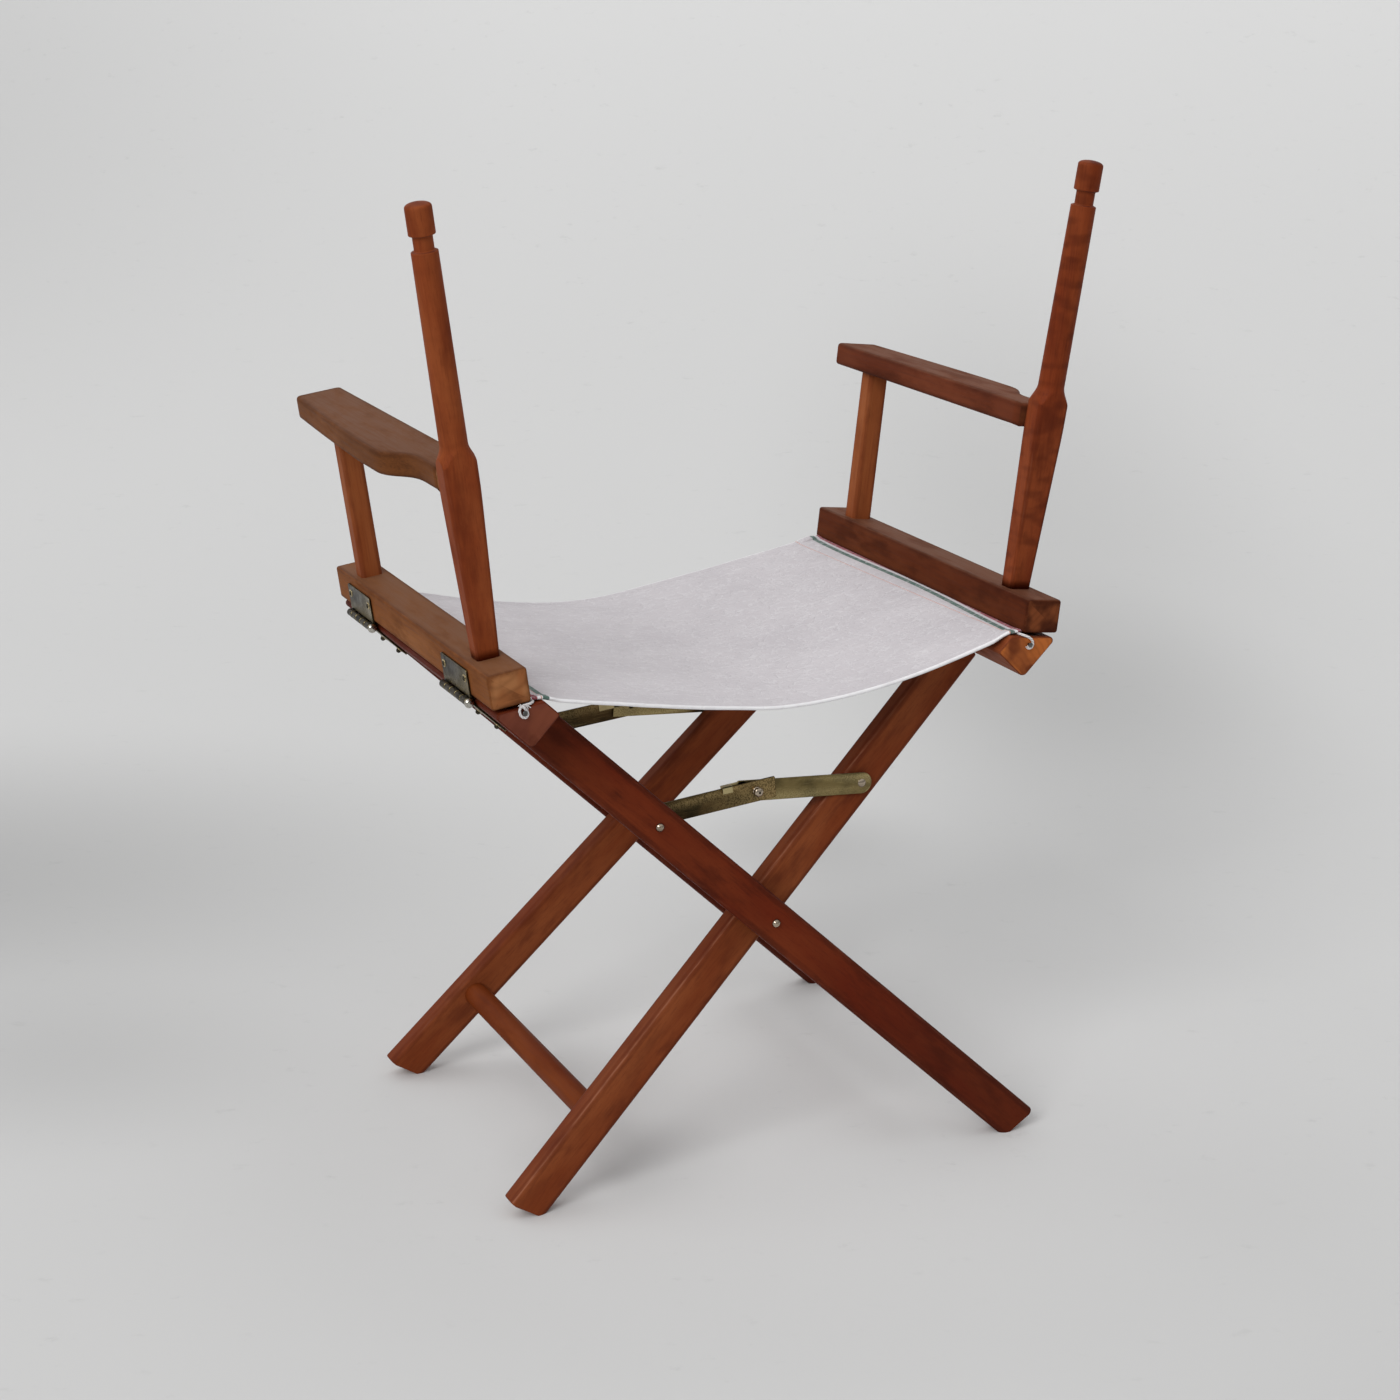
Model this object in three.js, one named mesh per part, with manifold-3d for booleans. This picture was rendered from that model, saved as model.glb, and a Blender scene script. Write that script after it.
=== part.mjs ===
// A folding director's chair: two crossed wooden frames, a sling seat, folding braces and hinged arms.
//
// Lengths are in millimetres and angles in radians. +Z is up, the sitter faces -Y and the sitter's left is +X.
// The origin is on the floor, midway between the feet. The outer frame carries the left seat rail and the inner
// frame the right one. Each piece is drawn once as its left, rear copy and mirrored for the other places.

import * as THREE from 'three';
import Module from 'manifold-3d';
import { mergeVertices } from 'three/addons/utils/BufferGeometryUtils.js';

const manifoldLibrary = await Module();
manifoldLibrary.setup();

const degree = Math.PI / 180;

// Clearances.
const fitGap = 0.3; // between pieces that touch
const runningGap = 0.35; // between a shaft and its bore
const seatDepth = 0.6; // spot face that levels the sloped leg under a bolt head, nut or spacer

// Legs. Their long axis leans sideways by legLean and spreads fore and aft by legSplay.
const legLean = 45.8 * degree;
const legSplay = 4.5 * degree;
const legWidth = 34.8;
const legThickness = 19.5;
const legArris = 5;
const legRise = 290; // from the pivot up to the shoulder under the seat rail
const legDrop = 317.5; // from the pivot down to the square end
const footFlat = 17; // length of the floor flat along X
const legTenonWidth = 20;
const legTenonThickness = 11;
const legTenonLength = 13;
const pairSpacing = 292; // between the middles of the front and rear pivot gaps
const pivotGap = 12.5; // between the outer and the inner leg at the pivot

// Seat rails.
const railLength = 385;
const railInnerHeight = 17.7; // height of the rail's inner face
const railTopRadius = 3.5;
const railOuterRadius = 5;
const railInnerRadius = 2;

// Stretchers.
const stretcherDrop = 219.8; // below the pivot, along the leg
const stretcherRadius = 11;
const stretcherSocket = 12; // depth of the blind hole in each leg

// Pivot and brace fasteners.
const boltRadius = 2.5;
const boltHeadRadius = 3.9;
const boltHeadHeight = 2.4;
const pivotSpacerRadius = 6;
const nutRadius = 5;
const nutThickness = 4;
const boltOverrun = 1.5; // bolt end beyond its nut

// Folding braces.
const braceAnchor = 139; // above the pivot, along the leg
const linkLength = 100;
const linkWidth = 18.5;
const linkThickness = 1.5;
const linkStandoff = 2.7; // between the inner leg and the right link
const linkOverrun = 17.5; // square end past the knuckle
const linkCornerRadius = 1.2;
const linkEndRoundness = 0.99; // of half the link's width
const rivetHeadHeight = 1.2;
const braceSpacerRadius = 5;
const lugStart = 22.5; // stop lug, measured from the knuckle
const lugLength = 9;
const lugLip = 4.8; // how far the lug hooks down behind the left link
const lugWebDepth = 9; // height of the tab that carries the lug

// Arms. u runs outward from the arm rail's inner face and w runs up from its underside.
const armLean = 7.2 * degree;
const armInset = 10.6; // from the seat rail's inner edge to the arm rail's inner face
const armGap = 3.2; // between the seat rail and the arm rail
const armRailWidth = 33;
const armRailHeight = 28.5;
const armRailRadius = 2.5;
const armrestUnderside = 165;
const armrestThickness = 20;
const armrestArris = 3;
const armrestFront = -194;
const armrestFrontWidth = 38;
const armrestCornerRadius = 9;
const armrestWidest = 50;
const armrestWidestStart = -5;
const armrestWidestEnd = 40;
const armrestRearWidth = 31;
const armrestRearStart = 104; // where the narrow rear stretch begins
const postTenonRadius = 6;
const postTenonDepth = 18; // into the arm rail
const armrestTenonDepth = 12; // into the armrest
const frontPostWidth = 19;
const frontPostRadius = 3.5;
const frontPostOut = 16.75;
const frontPostDepth = -145; // Y of the front post
const backPostOut = 15.8;
const backPostDepth = 142.5; // Y of the back post at the arm rail's underside
const backPostRake = 3.4 * degree;
const backPostLean = 0.6 * degree;
const backPostBaseWidth = 19;
const backPostBaseThickness = 17;
const backPostWidth = 28;
const backPostThickness = 22.6;
const backPostArris = 4;
const shoulderStart = 184.5;
const shoulderEnd = 203.5;
const shoulderSwell = 0.31; // of the shoulder's height
const shaftRadius = 11;
const shaftTopRadius = 10.4;
const shaftTop = 353;
const neckRadius = 7.75;
const knobStart = 365;
const knobEdgeRadius = 3.5;
const knobDome = 2.5;
const postTop = 389.5;
const armrestDowelRadius = 4;
const armrestDowelLength = 8;

// Arm hinges.
const hingeLength = 60;
const rearHingeDepth = 116.7; // Y of the middle of the rear hinge
const frontHingeDepth = -126; // Y of the middle of the front hinge
const hingeAxisOut = 3.8; // outside the arm rail
const hingeAxisDrop = 4; // below the arm rail
const barrelRadius = 3.25;
const pinRadius = 1.6;
const pinHeadRadius = 3.1;
const pinHeadLength = 3.6;
const knuckleCount = 5;
const knuckleGap = 0.6;
const leafThickness = 1.6;
const upperLeafHeight = 22;
const lowerLeafLength = 42;
const upperScrewRise = 14; // above the arm rail's underside
const upperScrewSpacing = 47.8;
const lowerScrewRise = 10; // above the seat rail's underside
const lowerScrewSpacing = 43;
const screwRadius = 1.6;
const screwLength = 8;
const screwTipLength = 3;
const screwHeadRadius = 3.5;
const screwHeadHeight = 2;

// Sling seat, with a cord in each side hem that hooks over a nail in each end of the seat rail.
const canvasThickness = 1.2;
const canvasLift = 0.4; // above the seat rail
const canvasFront = -190;
const canvasRear = 187;
const canvasSag = 36.5;
const cordRadius = 1.4;
const cordBend = 1.5 * cordRadius; // where it turns down the rail's end
const cordTurnRadius = 1.1 * cordRadius; // between the nail and the cord's middle
const cordTail = [[-0.7, 1.2], [-0.4, 2]]; // across and up from the nail, in turns
const grooveInset = 15; // from the arm rail's inner face to the hem groove
const nailOut = 1; // outward from the leg's middle line
const nailRise = 25; // above the shoulder of the leg
const nailRadius = 1;
const nailHeadRadius = 2.3;
const nailHeadThickness = 1;
const nailLength = 12; // in the wood

// Places that follow from the sizes.
const splaySlope = Math.tan(legSplay);
const pivotHeight = legDrop * Math.cos(legLean) + (legWidth / 2) * Math.sin(legLean)
  - footFlat * Math.sin(legLean) * Math.cos(legLean);
const railBottom = legRise + fitGap;
const railInnerTop = railBottom + railInnerHeight;
const topTilt = legLean - armLean; // slope of the rail's top face in the leg's frame
const outerLegFront = (pairSpacing + pivotGap) / 2;
const outerLegRear = outerLegFront + legThickness;
const innerLegRear = (pairSpacing - pivotGap) / 2;
const innerLegFront = innerLegRear - legThickness;
const anchorShift = -braceAnchor * splaySlope; // Y shift of a leg at the brace anchor
const rightLinkFront = innerLegRear + anchorShift + linkStandoff;
const rightLinkRear = rightLinkFront + linkThickness;
const leftLinkFront = rightLinkRear + fitGap;
const leftLinkRear = leftLinkFront + linkThickness;
const kneeAngle = Math.acos((braceAnchor * Math.sin(legLean)) / linkLength);
const kneeHeight = pivotHeight + braceAnchor * Math.cos(legLean) + linkLength * Math.sin(kneeAngle);
const hemRadius = cordRadius + fitGap + canvasThickness;

// A point over the rail's sloped top face, in the leg's frame: x outward across the leg, z up along it.
function overRail(outward, above) {
  return {
    x: -legWidth / 2 + outward * Math.cos(topTilt) - above * Math.sin(topTilt),
    z: railInnerTop + outward * Math.sin(topTilt) + above * Math.cos(topTilt),
  };
}

// A point of the left leg's frame in the chair's frame.
function fromLegFrame(point) {
  return {
    x: point.x * Math.cos(legLean) + point.z * Math.sin(legLean),
    z: pivotHeight - point.x * Math.sin(legLean) + point.z * Math.cos(legLean),
  };
}

const hingeAxis = overRail(armInset + armRailWidth + hingeAxisOut, armGap - hingeAxisDrop);
const hemCentre = overRail(armInset + grooveInset, canvasLift + canvasThickness - hemRadius);
const nailPoint = { x: nailOut, z: legRise + nailRise };
const armOrigin = fromLegFrame(overRail(armInset, armGap));

// ---------------------------------------------------------------- solid geometry

// The geometry as an indexed closed shell without doubled corners or empty triangles.
function welded(geometry) {
  const bare = geometry.clone();
  bare.deleteAttribute('normal');
  bare.deleteAttribute('uv');
  const shell = mergeVertices(bare, 1e-4);
  const corners = shell.index.array;
  const kept = [];
  for (let i = 0; i < corners.length; i += 3) {
    const [a, b, c] = [corners[i], corners[i + 1], corners[i + 2]];
    if (a !== b && b !== c && c !== a) {
      kept.push(a, b, c);
    }
  }
  shell.setIndex(kept);
  return shell;
}

function toSolid(geometry) {
  const shell = welded(geometry);
  return new manifoldLibrary.Manifold(new manifoldLibrary.Mesh({
    numProp: 3,
    vertProperties: Float32Array.from(shell.attributes.position.array),
    triVerts: Uint32Array.from(shell.index.array),
  }));
}

function toGeometry(solid) {
  const mesh = solid.getMesh();
  const geometry = new THREE.BufferGeometry();
  geometry.setAttribute('position', new THREE.BufferAttribute(Float32Array.from(mesh.vertProperties), 3));
  geometry.setIndex(new THREE.BufferAttribute(Uint32Array.from(mesh.triVerts), 1));
  return geometry;
}

function join(first, ...others) {
  return toGeometry(others.reduce((solid, other) => solid.add(toSolid(other)), toSolid(first)));
}

function cut(body, ...tools) {
  return toGeometry(tools.reduce((solid, tool) => solid.subtract(toSolid(tool)), toSolid(body)));
}

function overlap(first, second) {
  return toGeometry(toSolid(first).intersect(toSolid(second)));
}

// A mirrored copy. Flipping each triangle keeps the faces pointing out.
function mirrored(geometry, axis) {
  const copy = welded(geometry);
  copy.scale(axis === 'x' ? -1 : 1, axis === 'y' ? -1 : 1, 1);
  const corners = copy.index.array;
  for (let i = 0; i < corners.length; i += 3) {
    [corners[i + 1], corners[i + 2]] = [corners[i + 2], corners[i + 1]];
  }
  return copy;
}

// A convex outline from corners listed counterclockwise, each rounded to its own radius.
function roundedOutline(corners) {
  const shape = new THREE.Shape();
  corners.forEach(([x, y, radius], index) => {
    const corner = new THREE.Vector2(x, y);
    const before = new THREE.Vector2(...corners.at(index - 1)).sub(corner).normalize();
    const after = new THREE.Vector2(...corners[(index + 1) % corners.length]).sub(corner).normalize();
    const halfAngle = Math.acos(before.dot(after)) / 2;
    const start = corner.clone().addScaledVector(before, radius / Math.tan(halfAngle));
    const end = corner.clone().addScaledVector(after, radius / Math.tan(halfAngle));
    const middle = before.clone().add(after).normalize();
    const centre = corner.clone().addScaledVector(middle, radius / Math.sin(halfAngle));
    if (index === 0) {
      shape.moveTo(start.x, start.y);
    } else {
      shape.lineTo(start.x, start.y);
    }
    const startAngle = start.clone().sub(centre).angle();
    const endAngle = end.clone().sub(centre).angle();
    shape.absarc(centre.x, centre.y, radius, startAngle, endAngle, false);
  });
  return shape;
}

function roundedRectangle(width, height, radius) {
  const [x, y] = [width / 2, height / 2];
  return roundedOutline([[-x, -y, radius], [x, -y, radius], [x, y, radius], [-x, y, radius]]);
}

// A bar along Z with a constant section.
function barAlongZ(shape, from, to, steps = 1) {
  const settings = { depth: to - from, steps, bevelEnabled: false, curveSegments: 2 };
  return new THREE.ExtrudeGeometry(shape, settings).translate(0, 0, from);
}

// A bar along Y whose section is drawn in X and Z.
function barAlongY(shape, from, to) {
  return barAlongZ(shape, -to, -from).rotateX(Math.PI / 2);
}

function block(x0, x1, y0, y1, z0, z1) {
  return new THREE.BoxGeometry(x1 - x0, y1 - y0, z1 - z0)
    .translate((x0 + x1) / 2, (y0 + y1) / 2, (z0 + z1) / 2);
}

function rodAlongY(radius, from, to, sides = 16) {
  return new THREE.CylinderGeometry(radius, radius, to - from, sides).translate(0, (from + to) / 2, 0);
}

function rodAlongZ(radius, from, to, sides = 16) {
  return rodAlongY(radius, from, to, sides).rotateX(Math.PI / 2);
}

// The radius of a bore whose flat facets still clear a shaft.
function boreRadius(shaft, gap = fitGap, sides = 16) {
  return (shaft + gap) / Math.cos(Math.PI / sides);
}

// A solid turned about Y from a profile of [radius, y] points.
function turned(profile, sides) {
  const points = profile.map(([radius, y]) => new THREE.Vector2(radius, y));
  return new THREE.LatheGeometry(points, sides);
}

// Points of a quarter ellipse from (radius, base) to (0, tip).
function dome(radius, base, tip, count = 2) {
  const points = [];
  for (let i = 0; i <= count; i += 1) {
    const angle = (i / count) * (Math.PI / 2);
    points.push([i === count ? 0 : radius * Math.cos(angle), base + (tip - base) * Math.sin(angle)]);
  }
  return points;
}

// A headed pin along Y: a dome at each end of a shank. Each dome's flat face is at headBase or tailBase.
function headedPin(shank, head, headBase, headTop, tail, tailBase, tailTip) {
  const rearDome = dome(head, headBase, headTop);
  const frontDome = dome(tail, tailBase, tailTip).reverse();
  return turned([...frontDome, [shank, tailBase], [shank, headBase], ...rearDome], 12);
}

// ---------------------------------------------------------------- crossed frames, in the leg's frame

// Moves each level of a leg fore or aft by the splay.
function splayed(geometry) {
  const positions = geometry.attributes.position;
  for (let i = 0; i < positions.count; i += 1) {
    positions.setY(i, positions.getY(i) - splaySlope * positions.getZ(i));
  }
  return geometry;
}

function legTenon(front, rear, gap) {
  const middle = (front + rear) / 2;
  const [halfWidth, halfThickness] = [legTenonWidth / 2 + gap, legTenonThickness / 2 + gap];
  const [bottom, top] = [legRise - 1, railBottom + legTenonLength + gap];
  return splayed(block(-halfWidth, halfWidth, middle - halfThickness, middle + halfThickness, bottom, top));
}

function legBlank(front, rear) {
  const section = roundedRectangle(legWidth, rear - front, legArris);
  const post = splayed(barAlongZ(section, -legDrop, legRise).translate(0, (front + rear) / 2, 0));
  const reach = legDrop + legWidth;
  const belowFloor = block(-reach, reach, -reach, reach, -reach, -pivotHeight).rotateY(-legLean);
  return cut(join(post, legTenon(front, rear, 0)), belowFloor);
}

function stretcherHole(front) {
  const face = front + splaySlope * stretcherDrop;
  const hole = rodAlongY(boreRadius(stretcherRadius), face - stretcherRadius, face + stretcherSocket + fitGap);
  return hole.translate(0, 0, -stretcherDrop);
}

// A level circular seat cut into a sloped face. The seat lies at y and opens towards the given direction.
function spotFace(radius, y, direction) {
  const far = y + direction * radius;
  return rodAlongY(boreRadius(radius), Math.min(y, far), Math.max(y, far));
}

function outerLeg() {
  const bore = rodAlongY(boreRadius(boltRadius), outerLegFront - legWidth, outerLegRear + legWidth);
  const anchorFront = outerLegFront + anchorShift;
  const anchorRear = outerLegRear + anchorShift;
  return cut(
    legBlank(outerLegFront, outerLegRear),
    bore,
    spotFace(boltHeadRadius, outerLegRear - seatDepth, 1),
    spotFace(pivotSpacerRadius, outerLegFront + seatDepth, -1),
    bore.clone().translate(0, 0, braceAnchor),
    spotFace(boltHeadRadius, anchorRear - seatDepth, 1).translate(0, 0, braceAnchor),
    spotFace(braceSpacerRadius, anchorFront + seatDepth, -1).translate(0, 0, braceAnchor),
    stretcherHole(outerLegFront),
  );
}

function innerLeg() {
  return cut(
    legBlank(innerLegFront, innerLegRear),
    rodAlongY(boreRadius(boltRadius, runningGap), innerLegFront - legWidth, innerLegRear + legWidth),
    spotFace(pivotSpacerRadius, innerLegRear - seatDepth, 1),
    spotFace(nutRadius, innerLegFront + seatDepth, -1),
    stretcherHole(innerLegFront),
  );
}

function stretcher(front) {
  const reach = front + splaySlope * stretcherDrop + stretcherSocket;
  return rodAlongY(stretcherRadius, -reach, reach).translate(0, 0, -stretcherDrop);
}

// A screw along X. Its head's underside is at x = 0 and its head points to +X.
function screw() {
  const profile = [
    [0, -screwLength],
    [screwRadius, screwTipLength - screwLength],
    [screwRadius, 0],
    ...dome(screwHeadRadius, 0, screwHeadHeight),
  ];
  return turned(profile, 8).rotateZ(-Math.PI / 2);
}

// Screw holes in the wood, drilled from the face at x.
function screwHoles(x, z, spacing) {
  const depth = screwLength - leafThickness;
  const holes = [];
  for (const middle of [rearHingeDepth, frontHingeDepth]) {
    for (const offset of [-spacing / 2, spacing / 2]) {
      const drill = rodAlongY(boreRadius(screwRadius, fitGap, 8), -depth, 1, 8).rotateZ(-Math.PI / 2);
      holes.push(drill.translate(x, middle + offset, z));
    }
  }
  return holes;
}

// The rail sits on the leg tenons. Its top face is parallel to the arm rail, with a groove for the seat hem.
function seatRail(legFront, legRear) {
  const half = legWidth / 2;
  const outerTop = railInnerTop + legWidth * Math.tan(topTilt);
  const section = roundedOutline([
    [-half, railBottom, railInnerRadius],
    [half, railBottom, railOuterRadius],
    [half, outerTop, railTopRadius],
    [-half, railInnerTop, railInnerRadius / 2],
  ]);
  const grooveRadius = hemRadius + canvasLift;
  const grooveOpening = block(-grooveRadius, grooveRadius, -railLength, railLength, 0, 4 * hemRadius);
  const mortise = legTenon(legFront, legRear, fitGap);
  const nailHole = rodAlongY(boreRadius(nailRadius), railLength / 2 - nailLength - fitGap, railLength / 2 + 1);
  nailHole.translate(nailPoint.x, 0, nailPoint.z);
  return cut(
    barAlongY(section, -railLength / 2, railLength / 2),
    rodAlongY(grooveRadius, -railLength, railLength, 12).translate(hemCentre.x, 0, hemCentre.z),
    grooveOpening.rotateY(-topTilt).translate(hemCentre.x, 0, hemCentre.z),
    mortise,
    mirrored(mortise, 'y'),
    nailHole,
    mirrored(nailHole, 'y'),
    ...screwHoles(half, railBottom + lowerScrewRise, lowerScrewSpacing),
  );
}

function pivotBolt() {
  const tip = innerLegFront + seatDepth - fitGap - nutThickness - boltOverrun;
  const headBase = outerLegRear - seatDepth + fitGap;
  return turned([[0, tip], [boltRadius, tip], [boltRadius, headBase],
    ...dome(boltHeadRadius, headBase, headBase + boltHeadHeight)], 12);
}

function pivotSpacer() {
  const [from, to] = [innerLegRear - seatDepth + fitGap, outerLegFront + seatDepth - fitGap];
  return cut(rodAlongY(pivotSpacerRadius, from, to), rodAlongY(boreRadius(boltRadius), from - 1, to + 1));
}

function pivotNut() {
  const to = innerLegFront + seatDepth - fitGap;
  const from = to - nutThickness;
  return cut(rodAlongY(nutRadius, from, to, 6), rodAlongY(boreRadius(boltRadius), from - 1, to + 1));
}

function braceBolt() {
  const headBase = outerLegRear + anchorShift - seatDepth + fitGap;
  const tailBase = leftLinkFront - fitGap;
  return headedPin(boltRadius, boltHeadRadius, headBase, headBase + boltHeadHeight,
    boltHeadRadius, tailBase, tailBase - rivetHeadHeight).translate(0, 0, braceAnchor);
}

function braceSpacer() {
  const [from, to] = [leftLinkRear + fitGap, outerLegFront + anchorShift + seatDepth - fitGap];
  return cut(rodAlongY(braceSpacerRadius, from, to), rodAlongY(boreRadius(boltRadius), from - 1, to + 1))
    .translate(0, 0, braceAnchor);
}

function cordNail() {
  const headBase = railLength / 2 + 2 * fitGap + 2 * cordRadius;
  const tip = railLength / 2 - nailLength;
  const headTop = headBase + nailHeadThickness;
  return turned([[0, tip], [nailRadius, tip + 2 * nailRadius], [nailRadius, headBase],
    [nailHeadRadius, headBase], [nailHeadRadius, headTop], [0, headTop]], 12)
    .translate(nailPoint.x, 0, nailPoint.z);
}

// ---------------------------------------------------------------- hem cord, in the leg's frame

// A smooth curve with the same number of stations between each pair of its points.
class StationCurve extends THREE.CatmullRomCurve3 {
  getUtoTmapping(station) {
    return station;
  }
}

// The cord's rear end: out of the groove, down the end of the rail and round the nail.
function cordEnd() {
  const plane = railLength / 2 + fitGap + cordRadius;
  const bend = cordBend;
  const turn = nailRadius + fitGap + cordTurnRadius;
  const points = [
    [hemCentre.x, railLength / 2 - 3 * bend, hemCentre.z],
    [hemCentre.x, plane - bend, hemCentre.z],
    [hemCentre.x, plane - bend * (1 - Math.SQRT1_2), hemCentre.z - bend * (1 - Math.SQRT1_2)],
    [hemCentre.x, plane, hemCentre.z - bend],
  ];
  for (let angle = 0; angle >= -180; angle -= 30) {
    const [across, up] = [Math.cos(angle * degree), Math.sin(angle * degree)];
    points.push([nailPoint.x + turn * across, plane, nailPoint.z + turn * up]);
  }
  for (const [across, up] of cordTail) {
    points.push([nailPoint.x + across * turn, plane, nailPoint.z + up * turn]);
  }
  return points;
}

function hemCord() {
  const rear = cordEnd();
  const front = cordEnd().map(([x, y, z]) => [x, -y, z]).reverse();
  const route = [...front, ...rear].map((point) => new THREE.Vector3(...point));
  const section = new THREE.Shape(new THREE.Path().absarc(0, 0, cordRadius, 0, 2 * Math.PI).getPoints(4).slice(0, 8));
  const curve = new StationCurve(route, false, 'centripetal');
  return new THREE.ExtrudeGeometry(section, { extrudePath: curve, steps: route.length - 1, bevelEnabled: false });
}

// ---------------------------------------------------------------- sling seat, in the chair's frame

// The outline of a band of even thickness along a line of points.
function bandOutline(points, thickness) {
  const sides = [[], []];
  points.forEach((point, index) => {
    const before = points[Math.max(index - 1, 0)];
    const after = points[Math.min(index + 1, points.length - 1)];
    const along = after.clone().sub(before).normalize();
    const across = new THREE.Vector2(-along.y, along.x).multiplyScalar(thickness / 2);
    sides[0].push(point.clone().sub(across));
    sides[1].push(point.clone().add(across));
  });
  return new THREE.Shape([...sides[0], ...sides[1].reverse()]);
}

function seatCanvas() {
  const middle = canvasLift + canvasThickness / 2;
  const edge = fromLegFrame(overRail(0, middle));
  const hem = fromLegFrame(overRail(armInset + grooveInset, middle));
  const halfSpan = 7;
  const line = [];
  for (let i = -halfSpan; i <= halfSpan; i += 1) {
    const share = i / halfSpan;
    line.push(new THREE.Vector2(share * edge.x, edge.z - canvasSag * (1 - share * share)));
  }
  line.unshift(new THREE.Vector2(-hem.x, hem.z));
  line.push(new THREE.Vector2(hem.x, hem.z));
  const sheet = barAlongY(bandOutline(line, canvasThickness), canvasFront, canvasRear);
  const centre = fromLegFrame(hemCentre);
  const hole = rodAlongY(boreRadius(cordRadius, fitGap, 12), -railLength, railLength, 12);
  const tube = cut(rodAlongY(hemRadius, canvasFront, canvasRear, 12), hole).translate(centre.x, 0, centre.z);
  return join(sheet, tube, mirrored(tube, 'x'));
}

// ---------------------------------------------------------------- braces, in the knuckle's frame

// A flat link from the knuckle at the origin to its anchor at +X, between two Y planes.
function linkPlate(front, rear) {
  const half = linkWidth / 2;
  const end = linkLength + half;
  const outline = roundedOutline([
    [-linkOverrun, -half, linkCornerRadius],
    [end, -half, linkEndRoundness * half],
    [end, half, linkEndRoundness * half],
    [-linkOverrun, half, linkCornerRadius],
  ]);
  return barAlongY(outline, front, rear);
}

function linkBores() {
  const bore = rodAlongY(boreRadius(boltRadius, runningGap), 0, 2 * pairSpacing);
  return [bore, bore.clone().translate(linkLength, 0, 0)];
}

function leftLink() {
  return cut(linkPlate(leftLinkFront, leftLinkRear), ...linkBores());
}

// The right link carries a lug that hooks over the left link's top edge and stops the knuckle.
function rightLink() {
  const lugBottom = linkWidth / 2 + fitGap;
  const lugTop = lugBottom + linkThickness;
  const lipRear = leftLinkRear + fitGap + linkThickness;
  const [far, near] = [-lugStart - lugLength, -lugStart];
  const web = block(far, -linkOverrun / 2, rightLinkFront, rightLinkRear, lugTop - lugWebDepth, lugTop);
  const bridge = block(far, near, rightLinkFront, lipRear, lugBottom, lugTop);
  const lip = block(far, near, leftLinkRear + fitGap, lipRear, lugBottom - lugLip, lugTop);
  const lug = join(web, bridge, lip).rotateY(-2 * kneeAngle);
  return cut(join(linkPlate(rightLinkFront, rightLinkRear), lug), ...linkBores());
}

function knuckleRivet() {
  const headBase = leftLinkRear + fitGap;
  const tailBase = rightLinkFront - fitGap;
  return headedPin(boltRadius, boltHeadRadius, headBase, headBase + rivetHeadHeight,
    boltHeadRadius, tailBase, tailBase - rivetHeadHeight);
}

// The anchor rivet ends in a flange that stands just clear of the inner leg.
function anchorRivet() {
  const headBase = rightLinkRear + fitGap;
  const flangeRear = rightLinkFront - fitGap;
  const flangeFront = innerLegRear + anchorShift + splaySlope * braceSpacerRadius + fitGap;
  return turned([[0, flangeFront], [braceSpacerRadius, flangeFront], [braceSpacerRadius, flangeRear],
    [boltRadius, flangeRear], [boltRadius, headBase],
    ...dome(boltHeadRadius, headBase, headBase + rivetHeadHeight)], 12).translate(linkLength, 0, 0);
}

// ---------------------------------------------------------------- hinges

// One hinge leaf about the barrel at the origin, running along Y. The plate's near face is at x = inner, and the
// plate reaches to z = reach. The leaf owns every second knuckle from firstKnuckle, and its two screws are driven
// home, so that they are one piece with it.
function hingeLeaf(inner, reach, firstKnuckle, screwZ, screwSpacing) {
  const pitch = hingeLength / knuckleCount;
  const up = Math.sign(reach);
  const [low, high] = [Math.min(0, reach), Math.max(0, reach)];
  const plate = block(inner, inner + leafThickness, -hingeLength / 2, hingeLength / 2, low, high);
  const knuckles = [];
  const notches = [];
  for (let i = 0; i < knuckleCount; i += 1) {
    const [from, to] = [i * pitch - hingeLength / 2, (i + 1) * pitch - hingeLength / 2];
    if (i % 2 === firstKnuckle) {
      knuckles.push(rodAlongY(barrelRadius, from + knuckleGap / 2, to - knuckleGap / 2, 12));
    } else {
      const depth = up * (barrelRadius + runningGap);
      const [notchLow, notchHigh] = [Math.min(-up, depth), Math.max(-up, depth)];
      notches.push(block(inner - 1, inner + leafThickness + 1, from, to, notchLow, notchHigh));
    }
  }
  const screws = [-screwSpacing / 2, screwSpacing / 2].map((y) => (
    screw().translate(inner + leafThickness, y, screwZ)));
  const pinBore = rodAlongY(boreRadius(pinRadius, runningGap, 8), -hingeLength, hingeLength, 8);
  return join(cut(join(cut(plate, ...notches), ...knuckles), pinBore), ...screws);
}

// The upper leaf's frame is the arm's and the lower leaf's frame is the leg's.
function upperLeaf(middle) {
  const leaf = hingeLeaf(fitGap - hingeAxisOut, hingeAxisDrop + upperLeafHeight, 0,
    hingeAxisDrop + upperScrewRise, upperScrewSpacing);
  return leaf.translate(armRailWidth + hingeAxisOut, middle, -hingeAxisDrop);
}

function lowerLeaf(middle) {
  const inner = legWidth / 2 + fitGap - hingeAxis.x;
  const leaf = hingeLeaf(inner, -lowerLeafLength, 1, railBottom + lowerScrewRise - hingeAxis.z, lowerScrewSpacing);
  return leaf.translate(hingeAxis.x, middle, hingeAxis.z);
}

function hingePin(middle) {
  const end = hingeLength / 2;
  const headBase = end + fitGap;
  return turned([[0, -end], [pinRadius, -end], [pinRadius, headBase],
    ...dome(pinHeadRadius, headBase, headBase + pinHeadLength)], 8)
    .translate(armRailWidth + hingeAxisOut, middle, -hingeAxisDrop);
}

// ---------------------------------------------------------------- arms, in the arm's frame

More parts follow.
